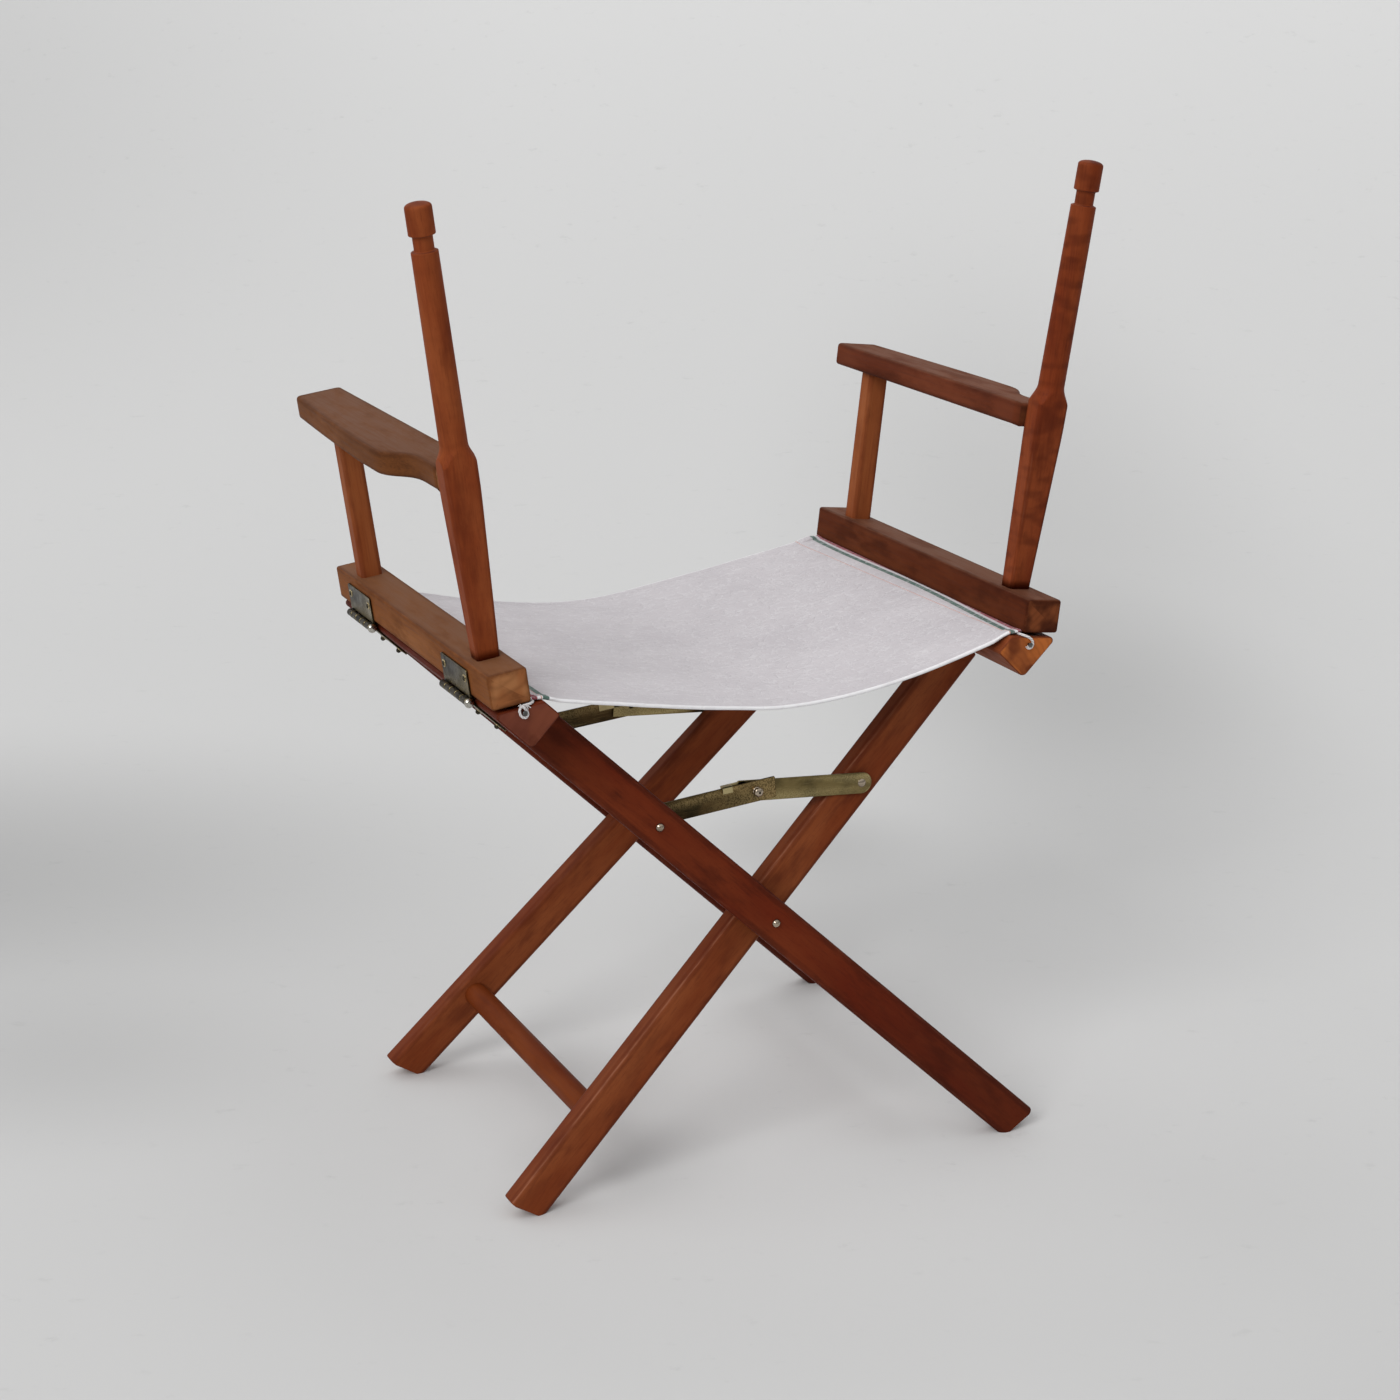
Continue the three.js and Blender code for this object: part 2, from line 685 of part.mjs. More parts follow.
// Puts a back-post shape drawn along Z at the origin into its raked place on the arm.
function atBackPost(geometry) {
  return geometry.rotateX(-backPostRake).rotateY(backPostLean).translate(backPostOut, backPostDepth, 0);
}

function frontPostTenons(gap) {
  const bottom = rodAlongZ(postTenonRadius + gap, armRailHeight - postTenonDepth - gap, armRailHeight + 1);
  const top = rodAlongZ(postTenonRadius + gap, armrestUnderside - 1, armrestUnderside + armrestTenonDepth + gap);
  return [bottom, top].map((tenon) => tenon.translate(frontPostOut, frontPostDepth, 0));
}

function backPostTenon(gap, top) {
  return atBackPost(rodAlongZ(postTenonRadius + gap, armRailHeight - postTenonDepth - gap, top));
}

function armRail() {
  const section = roundedOutline([
    [0, 0, armRailRadius],
    [armRailWidth, 0, armRailRadius],
    [armRailWidth, armRailHeight, armRailRadius],
    [0, armRailHeight, armRailRadius],
  ]);
  const [bottomTenon] = frontPostTenons(boreRadius(0));
  return cut(
    barAlongY(section, -railLength / 2, railLength / 2),
    bottomTenon,
    backPostTenon(boreRadius(0), 2 * armRailHeight),
    ...screwHoles(armRailWidth, upperScrewRise, upperScrewSpacing),
  );
}

function frontPost() {
  const section = roundedRectangle(frontPostWidth, frontPostWidth, frontPostRadius);
  const shaft = barAlongZ(section, armRailHeight + fitGap, armrestUnderside - fitGap);
  return join(shaft.translate(frontPostOut, frontPostDepth, 0), ...frontPostTenons(0));
}

// The turned outline of the back post: a smooth shoulder, a tapered shaft, a neck and a knob.
function backPostProfile() {
  const stock = shaftRadius + (shoulderEnd - shoulderStart) * shoulderSwell;
  const profile = [[0, 0], [stock, 0]];
  for (let i = 0; i <= 4; i += 1) {
    const share = i / 4;
    const fall = (1 + Math.cos(Math.PI * share)) / 2;
    profile.push([shaftRadius + (stock - shaftRadius) * fall, shoulderStart + (shoulderEnd - shoulderStart) * share]);
  }
  profile.push([shaftTopRadius, shaftTop]);
  profile.push([neckRadius, shaftTop + 1]);
  profile.push([neckRadius, knobStart - 1]);
  profile.push([shaftTopRadius, knobStart]);
  const edgeTop = postTop - knobDome;
  for (let i = 0; i <= 2; i += 1) {
    const angle = (i / 2) * (Math.PI / 2);
    const radius = shaftTopRadius - knobEdgeRadius * (1 - Math.cos(angle));
    profile.push([radius, edgeTop - knobEdgeRadius * (1 - Math.sin(angle))]);
  }
  profile.push([0, postTop]);
  return profile;
}

// Squared stock that flares from the arm rail up to the armrest.
function backPostStock() {
  const stations = [
    { height: armRailHeight - 2, width: backPostBaseWidth, thickness: backPostBaseThickness },
    { height: armrestUnderside, width: backPostWidth, thickness: backPostThickness },
    { height: postTop + 1, width: backPostWidth, thickness: backPostThickness },
  ];
  const section = roundedRectangle(backPostWidth, backPostThickness, backPostArris);
  const stock = barAlongZ(section, 0, stations.length - 1, stations.length - 1);
  const positions = stock.attributes.position;
  for (let i = 0; i < positions.count; i += 1) {
    const station = stations[Math.round(positions.getZ(i))];
    positions.setX(i, positions.getX(i) * (station.width / backPostWidth));
    positions.setY(i, positions.getY(i) * (station.thickness / backPostThickness));
    positions.setZ(i, station.height);
  }
  return stock;
}

// The dowel that joins the armrest's rear end to the back post.
function armrestDowel(gap) {
  const middleHeight = armrestUnderside + armrestThickness / 2;
  const face = backPostDepth + middleHeight * Math.sin(backPostRake) - backPostThickness / 2;
  return rodAlongY(armrestDowelRadius + gap, face - 4, face + armrestDowelLength + gap, 16)
    .translate(armrestRearWidth / 2, 0, middleHeight);
}

function backPost() {
  const turnedPost = turned(backPostProfile(), 16).rotateX(Math.PI / 2);
  const post = atBackPost(overlap(backPostStock(), turnedPost));
  const belowRailTop = block(-armRailWidth, 2 * armRailWidth, 0, railLength, -armRailHeight, armRailHeight + fitGap);
  return cut(
    join(cut(post, belowRailTop), backPostTenon(0, armRailHeight + 4)),
    armrestDowel(boreRadius(0)),
  );
}

// The armrest's plan: x runs outward from its straight inner edge and y runs to the rear.
function armrestOutline(rearEnd) {
  const corner = armrestCornerRadius;
  const outline = new THREE.Shape();
  outline.moveTo(0, rearEnd);
  outline.lineTo(0, armrestFront + corner);
  outline.absarc(corner, armrestFront + corner, corner, Math.PI, 1.5 * Math.PI, false);
  outline.lineTo(armrestFrontWidth - corner, armrestFront);
  outline.absarc(armrestFrontWidth - corner, armrestFront + corner, corner, 1.5 * Math.PI, 2 * Math.PI, false);
  outline.quadraticCurveTo((armrestFrontWidth + armrestWidest) / 2 + 1, (armrestFront + armrestWidestStart) / 2,
    armrestWidest, armrestWidestStart);
  outline.lineTo(armrestWidest, armrestWidestEnd);
  const waist = (armrestWidestEnd + armrestRearStart) / 2;
  outline.bezierCurveTo(armrestWidest, waist, armrestRearWidth, waist, armrestRearWidth, armrestRearStart);
  outline.lineTo(armrestRearWidth, rearEnd);
  return outline;
}

function armrest() {
  const settings = {
    depth: armrestThickness - 2 * armrestArris,
    bevelThickness: armrestArris,
    bevelSize: armrestArris,
    bevelOffset: -armrestArris,
    bevelSegments: 2,
    curveSegments: 4,
  };
  const rearEnd = backPostDepth + backPostThickness;
  const board = new THREE.ExtrudeGeometry(armrestOutline(rearEnd), settings)
    .translate(0, 0, armrestUnderside + armrestArris);
  const face = -backPostThickness / 2 - fitGap;
  const behind = atBackPost(block(-legWidth, legWidth, face, legWidth, shaftRadius, postTop));
  const [, topTenon] = frontPostTenons(boreRadius(0));
  return cut(join(cut(board, behind), armrestDowel(0)), topTenon);
}

// ---------------------------------------------------------------- the whole chair

const finishes = {
  wood: new THREE.MeshStandardMaterial({ color: 0x6a3320, roughness: 0.45, metalness: 0 }),
  armWood: new THREE.MeshStandardMaterial({ color: 0x7d4a2c, roughness: 0.5, metalness: 0 }),
  darkSteel: new THREE.MeshStandardMaterial({ color: 0x55554a, roughness: 0.45, metalness: 0.9 }),
  brassedSteel: new THREE.MeshStandardMaterial({ color: 0x6e643c, roughness: 0.4, metalness: 0.9 }),
  nickel: new THREE.MeshStandardMaterial({ color: 0xb4b2ac, roughness: 0.25, metalness: 1 }),
  canvas: new THREE.MeshStandardMaterial({ color: 0xc9c4ca, roughness: 0.9, metalness: 0 }),
  cord: new THREE.MeshStandardMaterial({ color: 0xe4e0da, roughness: 0.9, metalness: 0 }),
};

function addPiece(group, name, geometry, finish) {
  const piece = new THREE.Mesh(geometry, finish.clone());
  piece.name = name;
  group.add(piece);
}

// side is 1 on the sitter's left and -1 on the right. end is 1 at the rear and -1 at the front.
function handed(geometry, side, end = 1) {
  const sided = side > 0 ? geometry : mirrored(geometry, 'x');
  return end > 0 ? sided : mirrored(sided, 'y');
}

function turnedGroup(x, z, angle) {
  const group = new THREE.Group();
  group.position.set(x, 0, z);
  group.rotation.y = angle;
  return group;
}

const ends = [['rear', 1], ['front', -1]];
const sides = [['left', 1], ['right', -1]];

function buildFrame(side, sideName, frameName, leg, legFront, legRear) {
  const frame = turnedGroup(0, pivotHeight, side * legLean);
  for (const [endName, end] of ends) {
    addPiece(frame, `${endName}_${frameName}_leg`, handed(leg, side, end), finishes.wood);
    const middle = end > 0 ? rearHingeDepth : frontHingeDepth;
    addPiece(frame, `${sideName}_${endName}_hinge_lower_leaf`, handed(lowerLeaf(middle), side), finishes.darkSteel);
    addPiece(frame, `${sideName}_${endName}_cord_nail`, handed(cordNail(), side, end), finishes.nickel);
  }
  addPiece(frame, `${frameName}_stretcher`, handed(stretcher(legFront), side), finishes.wood);
  addPiece(frame, `${sideName}_seat_rail`, handed(seatRail(legFront, legRear), side), finishes.wood);
  addPiece(frame, `${sideName}_hem_cord`, handed(hemCord(), side), finishes.cord);
  return frame;
}

function buildPivots(frame) {
  for (const [endName, end] of ends) {
    addPiece(frame, `${endName}_pivot_bolt`, handed(pivotBolt(), 1, end), finishes.nickel);
    addPiece(frame, `${endName}_pivot_spacer`, handed(pivotSpacer(), 1, end), finishes.darkSteel);
    addPiece(frame, `${endName}_pivot_nut`, handed(pivotNut(), 1, end), finishes.nickel);
    addPiece(frame, `${endName}_brace_bolt`, handed(braceBolt(), 1, end), finishes.nickel);
    addPiece(frame, `${endName}_brace_spacer`, handed(braceSpacer(), 1, end), finishes.darkSteel);
  }
}

function buildBraces(chair) {
  const left = turnedGroup(0, kneeHeight, kneeAngle);
  const right = turnedGroup(0, kneeHeight, -kneeAngle);
  for (const [endName, end] of ends) {
    addPiece(left, `${endName}_brace_left_link`, handed(leftLink(), 1, end), finishes.brassedSteel);
    addPiece(left, `${endName}_brace_knuckle_rivet`, handed(knuckleRivet(), 1, end), finishes.nickel);
    addPiece(right, `${endName}_brace_right_link`, handed(rightLink(), -1, end), finishes.brassedSteel);
    addPiece(right, `${endName}_brace_end_rivet`, handed(anchorRivet(), -1, end), finishes.nickel);
  }
  chair.add(left, right);
}

function buildArm(side, sideName) {
  const arm = turnedGroup(side * armOrigin.x, armOrigin.z, side * armLean);
  addPiece(arm, `${sideName}_arm_rail`, handed(armRail(), side), finishes.armWood);
  addPiece(arm, `${sideName}_front_post`, handed(frontPost(), side), finishes.wood);
  addPiece(arm, `${sideName}_back_post`, handed(backPost(), side), finishes.wood);
  addPiece(arm, `${sideName}_armrest`, handed(armrest(), side), finishes.armWood);
  for (const [endName, end] of ends) {
    const middle = end > 0 ? rearHingeDepth : frontHingeDepth;
    addPiece(arm, `${sideName}_${endName}_hinge_upper_leaf`, handed(upperLeaf(middle), side), finishes.darkSteel);
    addPiece(arm, `${sideName}_${endName}_hinge_pin`, handed(hingePin(middle), side), finishes.nickel);
  }
  return arm;
}

function buildChair() {
  const chair = new THREE.Group();
  const outerFrame = buildFrame(1, 'left', 'outer', outerLeg(), outerLegFront, outerLegRear);
  const innerFrame = buildFrame(-1, 'right', 'inner', innerLeg(), innerLegFront, innerLegRear);
  buildPivots(outerFrame);
  buildBraces(chair);
  addPiece(chair, 'seat_canvas', seatCanvas(), finishes.canvas);
  chair.add(outerFrame, innerFrame);
  for (const [sideName, side] of sides) {
    chair.add(buildArm(side, sideName));
  }
  return chair;
}

export default buildChair();
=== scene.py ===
"""A folding canvas chair: crossed frames, sling seat, folding braces, hinged arms, and the studio round it.

Lengths in the classes are in millimetres, and become metres when a piece is made. Each piece is drawn in the
frame of what carries it. The leg, arm and link frames lean with those parts: z runs up the leg or from the
arm rail, x runs outward and y runs to the rear. A piece is drawn once, left and rear, and mirrored elsewhere.
"""

import logging
import math
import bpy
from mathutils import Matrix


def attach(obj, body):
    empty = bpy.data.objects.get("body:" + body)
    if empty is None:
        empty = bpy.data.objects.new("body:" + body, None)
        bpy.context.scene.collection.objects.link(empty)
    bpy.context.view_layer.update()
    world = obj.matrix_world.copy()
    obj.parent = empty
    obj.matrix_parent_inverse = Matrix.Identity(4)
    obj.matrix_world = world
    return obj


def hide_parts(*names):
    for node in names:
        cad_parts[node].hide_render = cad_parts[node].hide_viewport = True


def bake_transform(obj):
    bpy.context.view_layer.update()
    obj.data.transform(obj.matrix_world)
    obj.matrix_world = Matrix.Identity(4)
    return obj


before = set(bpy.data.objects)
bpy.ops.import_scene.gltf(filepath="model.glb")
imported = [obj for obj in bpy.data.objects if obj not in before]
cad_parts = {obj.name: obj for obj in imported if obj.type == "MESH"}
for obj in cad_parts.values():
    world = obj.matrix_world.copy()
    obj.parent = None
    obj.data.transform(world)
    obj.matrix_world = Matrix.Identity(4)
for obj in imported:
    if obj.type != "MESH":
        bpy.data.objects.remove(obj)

import zlib
from collections.abc import Callable, Sequence
from dataclasses import dataclass, replace
from enum import Enum
from typing import Any

import bmesh
import bpy
import numpy as np
from mathutils import Matrix, Vector, noise

LOG = logging.getLogger("chair")
MILLIMETRE = 0.001
FIRST_COLOUR, SECOND_COLOUR, MIXED_COLOUR = 6, 7, 2
NO_CORNER = 1e9
Array = np.ndarray
Triple = tuple[float, float, float]
Colour = Triple
Material = bpy.types.Material
Socket = bpy.types.NodeSocket


class Named(Enum):
    """A choice whose name goes into the names of parts."""

    @property
    def word(self) -> str:
        """The choice's name in the names of parts."""
        return self.name.lower()


class Side(Named):
    """The sitter's left or right."""

    LEFT = 1
    RIGHT = -1


class End(Named):
    """The rear or the front of the chair."""

    REAR = 1
    FRONT = -1


class Along(Enum):
    """The axis that a bar or its grain runs along."""

    X = 0
    Y = 1
    Z = 2

    def place(self, across: Array, up: Array, reach: Array) -> Array:
        """Puts a section's two coordinates and the distance along the bar in x, y, z order."""
        orders = {Along.X: (reach, across, up), Along.Y: (across, reach, up), Along.Z: (across, up, reach)}
        return np.column_stack(orders[self])

    def grain_frame(self) -> Array:
        """The turn that carries the grain's z axis onto this axis."""
        turns = {Along.X: ((0, 0, 1), (0, 1, 0), (-1, 0, 0)), Along.Y: ((1, 0, 0), (0, 0, 1), (0, -1, 0)),
                 Along.Z: ((1, 0, 0), (0, 1, 0), (0, 0, 1))}
        return np.array(turns[self], float)


@dataclass(frozen=True)
class ChairSizes:
    """The chair's shared sizes, the same as its solid parts have."""

    fit_gap: float = 0.3
    seat_depth: float = 0.6
    leg_lean: float = math.radians(45.8)
    leg_splay: float = math.radians(4.5)
    leg_width: float = 34.8
    leg_thickness: float = 19.5
    leg_rise: float = 290.0
    leg_drop: float = 317.5
    foot_flat: float = 17.0
    pair_spacing: float = 292.0
    pivot_gap: float = 12.5
    rail_length: float = 385.0
    rail_inner_height: float = 17.7
    brace_anchor: float = 139.0
    link_length: float = 100.0
    link_thickness: float = 1.5
    link_standoff: float = 2.7
    arm_lean: float = math.radians(7.2)
    arm_inset: float = 10.6
    arm_gap: float = 3.2
    arm_rail_width: float = 33.0
    arm_rail_height: float = 28.5
    hinge_axis_out: float = 3.8
    hinge_axis_drop: float = 4.0
    groove_inset: float = 15.0
    canvas_lift: float = 0.4
    canvas_thickness: float = 1.2
    cord_radius: float = 1.4
    nail_out: float = 1.0
    nail_rise: float = 25.0

    @property
    def splay_slope(self) -> float:
        """How far a leg moves fore or aft for each millimetre along it."""
        return math.tan(self.leg_splay)

    @property
    def pivot_height(self) -> float:
        """The pivot's height over the floor."""
        sine, cosine = math.sin(self.leg_lean), math.cos(self.leg_lean)
        return self.leg_drop * cosine + self.leg_width / 2 * sine - self.foot_flat * sine * cosine

    @property
    def rail_bottom(self) -> float:
        """The seat rail's underside, along the leg."""
        return self.leg_rise + self.fit_gap

    @property
    def rail_top(self) -> float:
        """The seat rail's top at its inner edge, along the leg."""
        return self.rail_bottom + self.rail_inner_height

    @property
    def groove_out(self) -> float:
        """The groove's middle, out from the seat rail's inner edge."""
        return self.arm_inset + self.groove_inset

    @property
    def rail_edge(self) -> tuple[float, float]:
        """The inner edge of the left seat rail's top, in the chair's frame."""
        return self.from_leg_frame(self.over_rail(0.0, 0.0))

    @property
    def top_tilt(self) -> float:
        """The slope of the seat rail's top face in the leg's frame."""
        return self.leg_lean - self.arm_lean

    @property
    def anchor_shift(self) -> float:
        """How far forward a leg has moved at the brace anchor."""
        return -self.brace_anchor * self.splay_slope

    @property
    def right_link_front(self) -> float:
        """The front face of the right link."""
        return self.leg_faces(Side.RIGHT)[1] + self.anchor_shift + self.link_standoff

    @property
    def left_link_front(self) -> float:
        """The front face of the left link."""
        return self.right_link_front + self.link_thickness + self.fit_gap

    @property
    def knee_angle(self) -> float:
        """The links' slope at rest."""
        return math.acos(self.brace_anchor * math.sin(self.leg_lean) / self.link_length)

    @property
    def knee_height(self) -> float:
        """The brace knuckle's height over the floor."""
        anchor = self.pivot_height + self.brace_anchor * math.cos(self.leg_lean)
        return anchor + self.link_length * math.sin(self.knee_angle)

    @property
    def hem_radius(self) -> float:
        """The radius of the seat's side hem round its cord."""
        return self.cord_radius + self.fit_gap + self.canvas_thickness

    @property
    def hem_rise(self) -> float:
        """The height of the hem's middle over the seat rail's top."""
        return self.canvas_lift + self.canvas_thickness - self.hem_radius

    def leg_faces(self, side: Side) -> list[float]:
        """The front and rear faces at the pivot of the rear leg that leans to one side."""
        near = (self.pair_spacing + side.value * self.pivot_gap) / 2
        return sorted((near, near + side.value * self.leg_thickness))

    def over_rail(self, outward: float, above: float) -> tuple[float, float]:
        """The leg frame's x and z of a point outward from the rail's inner edge and above its top."""
        sine, cosine = math.sin(self.top_tilt), math.cos(self.top_tilt)
        x = -self.leg_width / 2 + outward * cosine - above * sine
        return x, self.rail_top + outward * sine + above * cosine

    def from_leg_frame(self, point: tuple[float, float]) -> tuple[float, float]:
        """The chair frame's x and z of a point that is given in the left leg's frame."""
        (x, z), sine, cosine = point, math.sin(self.leg_lean), math.cos(self.leg_lean)
        return x * cosine + z * sine, self.pivot_height - x * sine + z * cosine

    def hinge_axis(self) -> tuple[float, float]:
        """The arm hinge's axis in the leg's frame."""
        out = self.arm_inset + self.arm_rail_width + self.hinge_axis_out
        return self.over_rail(out, self.arm_gap - self.hinge_axis_drop)

    def hem_centre(self) -> tuple[float, float]:
        """The middle of the hem cord in the leg's frame."""
        return self.over_rail(self.groove_out, self.hem_rise)

    def nail_point(self) -> tuple[float, float]:
        """The middle of the cord nail in the leg's frame."""
        return self.nail_out, self.leg_rise + self.nail_rise

    def leg_frame(self, side: Side) -> Matrix:
        """The frame of the legs that carry one seat rail."""
        return self.leaning(0.0, self.pivot_height, side.value * self.leg_lean)

    def arm_frame(self, side: Side) -> Matrix:
        """The frame of one arm."""
        x, z = self.from_leg_frame(self.over_rail(self.arm_inset, self.arm_gap))
        return self.leaning(side.value * x, z, side.value * self.arm_lean)

    def link_frame(self, side: Side) -> Matrix:
        """The frame of the left or right brace links."""
        return self.leaning(0.0, self.knee_height, side.value * self.knee_angle)

    @staticmethod
    def leaning(x: float, z: float, angle: float) -> Matrix:
        """A frame in metres at x and z, turned about the fore-and-aft axis by an angle in radians."""
        place = Vector((x, 0.0, z)) * MILLIMETRE
        return Matrix.Translation(place) @ Matrix.Rotation(angle, 4, "Y")


# ---------------------------------------------------------------- skins


@dataclass
class Shell:
    """A piece's skin: its points in millimetres, its faces, and a wear number at each point, which finishes
    paint as rubbed wear, and in part as painted shade on arrises and in a cord's hollows and as painted
    highlight on steel rims.
    """

    points: Array
    faces: list[tuple[int, ...]]
    wear: Array

    def joined(self, *others: "Shell") -> "Shell":
        """This skin with others beside it, as one skin.

        Args:
            others: The skins to add.

        Returns:
            The joined skin.
        """
        points, faces, wear = [self.points], list(self.faces), [self.wear]
        base = len(self.points)
        for other in others:
            points.append(other.points)
            wear.append(other.wear)
            faces.extend(tuple(base + corner for corner in face) for face in other.faces)
            base += len(other.points)
        return Shell(np.vstack(points), faces, np.concatenate(wear))

    def moved(self, x: float = 0.0, y: float = 0.0, z: float = 0.0) -> "Shell":
        """A copy moved by x, y and z."""
        return Shell(self.points + np.array((x, y, z)), self.faces, self.wear)

    def turned(self, turn: Matrix) -> "Shell":
        """A copy turned by a matrix."""
        spin = np.array(turn.to_3x3())
        return Shell(self.points @ spin.T, self.faces, self.wear)

    def handed(self, side: Side = Side.LEFT, end: End = End.REAR) -> "Shell":
        """The left, rear piece mirrored for a side and an end. Its faces are turned outward later."""
        return Shell(self.points * np.array((side.value, end.value, 1.0)), self.faces, self.wear)


def rounded_line(corners: Sequence[Triple], closed: bool, steps: int = 4,
                 apron: float = 0.0) -> Array:
    """Rounds the corners of a flat line.

    Args:
        corners: Each corner's two coordinates and its radius.
        closed: Whether the line returns to its start. An open line's two ends stay sharp.
        steps: The number of short stretches in each rounded corner.
        apron: How far onto the flats wear spreads from a corner.

    Returns:
        Rows of both coordinates, the outward normal, the roundness, which is 1 in the middle of a corner, the
        corner's radius and the sum of the normals of its two flats.
    """
    rows: list[tuple[float, ...]] = []
    count = len(corners)
    flat = (NO_CORNER, 0.0, 0.0)
    edge = 0.5 if apron else 0.0
    for index, (x, y, radius) in enumerate(corners):
        corner = np.array((x, y))
        if not closed and index in (0, count - 1):
            rows.append((x, y, 0.0, 0.0, 0.0, *flat))
            continue
        before, after = (np.array(corners[near % count][:2]) - corner for near in (index - 1, index + 1))
        before, after = before / np.linalg.norm(before), after / np.linalg.norm(after)
        half = math.acos(float(np.clip(before @ after, -1, 1))) / 2
        middle = (before + after) / np.linalg.norm(before + after)
        radius = max(radius, 1e-6)
        centre = corner + middle * radius / math.sin(half)
        sign = -1.0 if float(before[0] * after[1] - before[1] * after[0]) > 0 else 1.0
        start = corner + before * radius / math.tan(half) - centre
        joint = flat if sign < 0 else (radius, *(-middle / math.sin(half)))
        reach = radius / math.tan(half) + apron
        if apron:
            rows.append((*(corner + before * reach), *(sign * start / radius), 0.0, *flat))
        for share in np.arange(steps + 1) / steps:
            angle = sign * (math.pi - 2 * half) * share
            sine, cosine = math.sin(angle), math.cos(angle)
            spoke = np.array((start[0] * cosine - start[1] * sine, start[0] * sine + start[1] * cosine))
            roundness = edge + (1 - edge) * math.sin(math.pi * share)
            rows.append((*(centre + spoke), *(sign * spoke / radius), roundness, *joint))
        if apron:
            rows.append((*(corner + after * reach), *rows[-1][2:4], 0.0, *flat))
    return np.array(rows)


@dataclass(frozen=True)
class Section:
    """A bar's section, counterclockwise, with what is needed to draw it smaller."""

    points: Array
    normals: Array
    roundness: Array
    radii: Array
    diagonals: Array

    @staticmethod
    def rounded(corners: Sequence[Triple], steps: int = 4, apron: float = 0.0) -> "Section":
        """A section from its corners, each with its own radius."""
        rows = rounded_line(corners, closed=True, steps=steps, apron=apron)
        return Section(rows[:, :2], rows[:, 2:4], rows[:, 4], rows[:, 5:6], rows[:, 6:8])

    @staticmethod
    def oblong(x: Sequence[float], y: Sequence[float], radii: tuple[float, float], steps: int = 4,
               apron: float = 0.0) -> "Section":
        """An oblong section between two x and two y, with radii for its low and high corners."""
        corners = [(x[0], y[0], radii[0]), (x[1], y[0], radii[0]), (x[1], y[1], radii[1]),
                   (x[0], y[1], radii[1])]
        return Section.rounded(corners, steps, apron)

    @staticmethod
    def traced(points: Array) -> "Section":
        """A section from closely spaced points, counterclockwise.

        Args:
            points: The points.

        Returns:
            The section, without corners.
        """
        along = np.roll(points, -1, axis=0) - np.roll(points, 1, axis=0)
        along /= np.linalg.norm(along, axis=1)[:, None]
        normals = np.column_stack((along[:, 1], -along[:, 0]))
        count = len(points)
        return Section(points, normals, np.zeros(count), np.full((count, 1), NO_CORNER), np.zeros((count, 2)))

    def inset(self, distance: float) -> Array:
        """The points with every flat moved inward. A corner is sharp once its radius is used up."""
        past = np.maximum(distance - self.radii, 0)
        return self.points - self.normals * np.minimum(distance, self.radii) - self.diagonals * past


def skin(rings: Sequence[Array], wear: Sequence[Array]) -> Shell:
    """A closed skin over rings that have the same number of points.

    Args:
        rings: The rings in order.
        wear: How rubbed each ring's points are.

    Returns:
        The skin, with a face over each end ring.
    """
    count, last = len(rings[0]), (len(rings) - 1) * len(rings[0])
    faces: list[tuple[int, ...]] = [tuple(range(count - 1, -1, -1))]
    for base in range(0, last, count):
        for corner in range(base, base + count):
            after = base + (corner + 1 - base) % count
            faces.append((corner, after, after + count, corner + count))
    faces.append(tuple(range(last, last + count)))
    return Shell(np.vstack(rings), faces, np.concatenate(wear))


def bar(section: Section, start: float, end: float, edge: float = 1.0, along: Along = Along.Z,
        pitch: float = 24.0, apron: float = 0.0) -> Shell:
    """A bar with rounded end edges.

    Args:
        section: The bar's section, in the two axes across it, in x, y, z order.
        start: Where the bar starts.
        end: Where it ends.
        edge: The radius of the end edges.
        along: The axis that the bar runs along.
        pitch: About how far apart the rings between the ends are.
        apron: How far onto the flats wear spreads from the end edges.

    Returns:
        The bar's skin.
    """
    base = 0.5 if apron else 0.0
    worn = [(0.0, edge + apron, 0.0)] if apron else []
    worn += [(edge * (1 - math.cos(a)), edge * (1 - math.sin(a)), base + (1 - base) * math.sin(2 * a))
             for a in (math.pi / 2 * step / 3 for step in range(4))]
    margin = edge + apron
    inner = max(1, round((end - start - 2 * margin) / pitch))
    gap = (end - start - 2 * margin) / inner
    stations = [(start + reach, inset, rub) for reach, inset, rub in worn]
    stations += [(start + margin + gap * step, 0.0, 0.0)
                 for step in range(0 if apron else 1, inner + bool(apron))]
    stations += [(end - reach, inset, rub) for reach, inset, rub in reversed(worn)]
    rings, wear = [], []
    for reach, inset, rub in stations:
        flat = section.inset(inset)
        rings.append(along.place(flat[:, 0], flat[:, 1], np.full(len(flat), reach)))
        wear.append(np.maximum(section.roundness, rub))
    return skin(rings, wear)


def turned(profile: Sequence[Triple], sides: int = 32, along: Along = Along.Y) -> Shell:
    """A round piece turned about an axis.

    Args:
        profile: Each corner's distance from the axis, place along it and radius. An open end is closed flat.
        sides: The number of sides.
        along: The axis.

    Returns:
        The piece's skin.
    """
    first, last = ([(0.0, end[1], 0.0)] if end[0] else [] for end in (profile[0], profile[-1]))
    rows = rounded_line([*first, *profile, *last], closed=False)
    angles = np.linspace(0, 2 * math.pi, sides, endpoint=False)
    rings, wear = [], []
    for radius, reach, roundness in rows[:, (0, 1, 4)]:
        size = max(radius, 0.01)
        rings.append(along.place(size * np.cos(angles), size * np.sin(angles), np.full(sides, reach)))
        wear.append(np.full(sides, roundness))
    return skin(rings, wear)


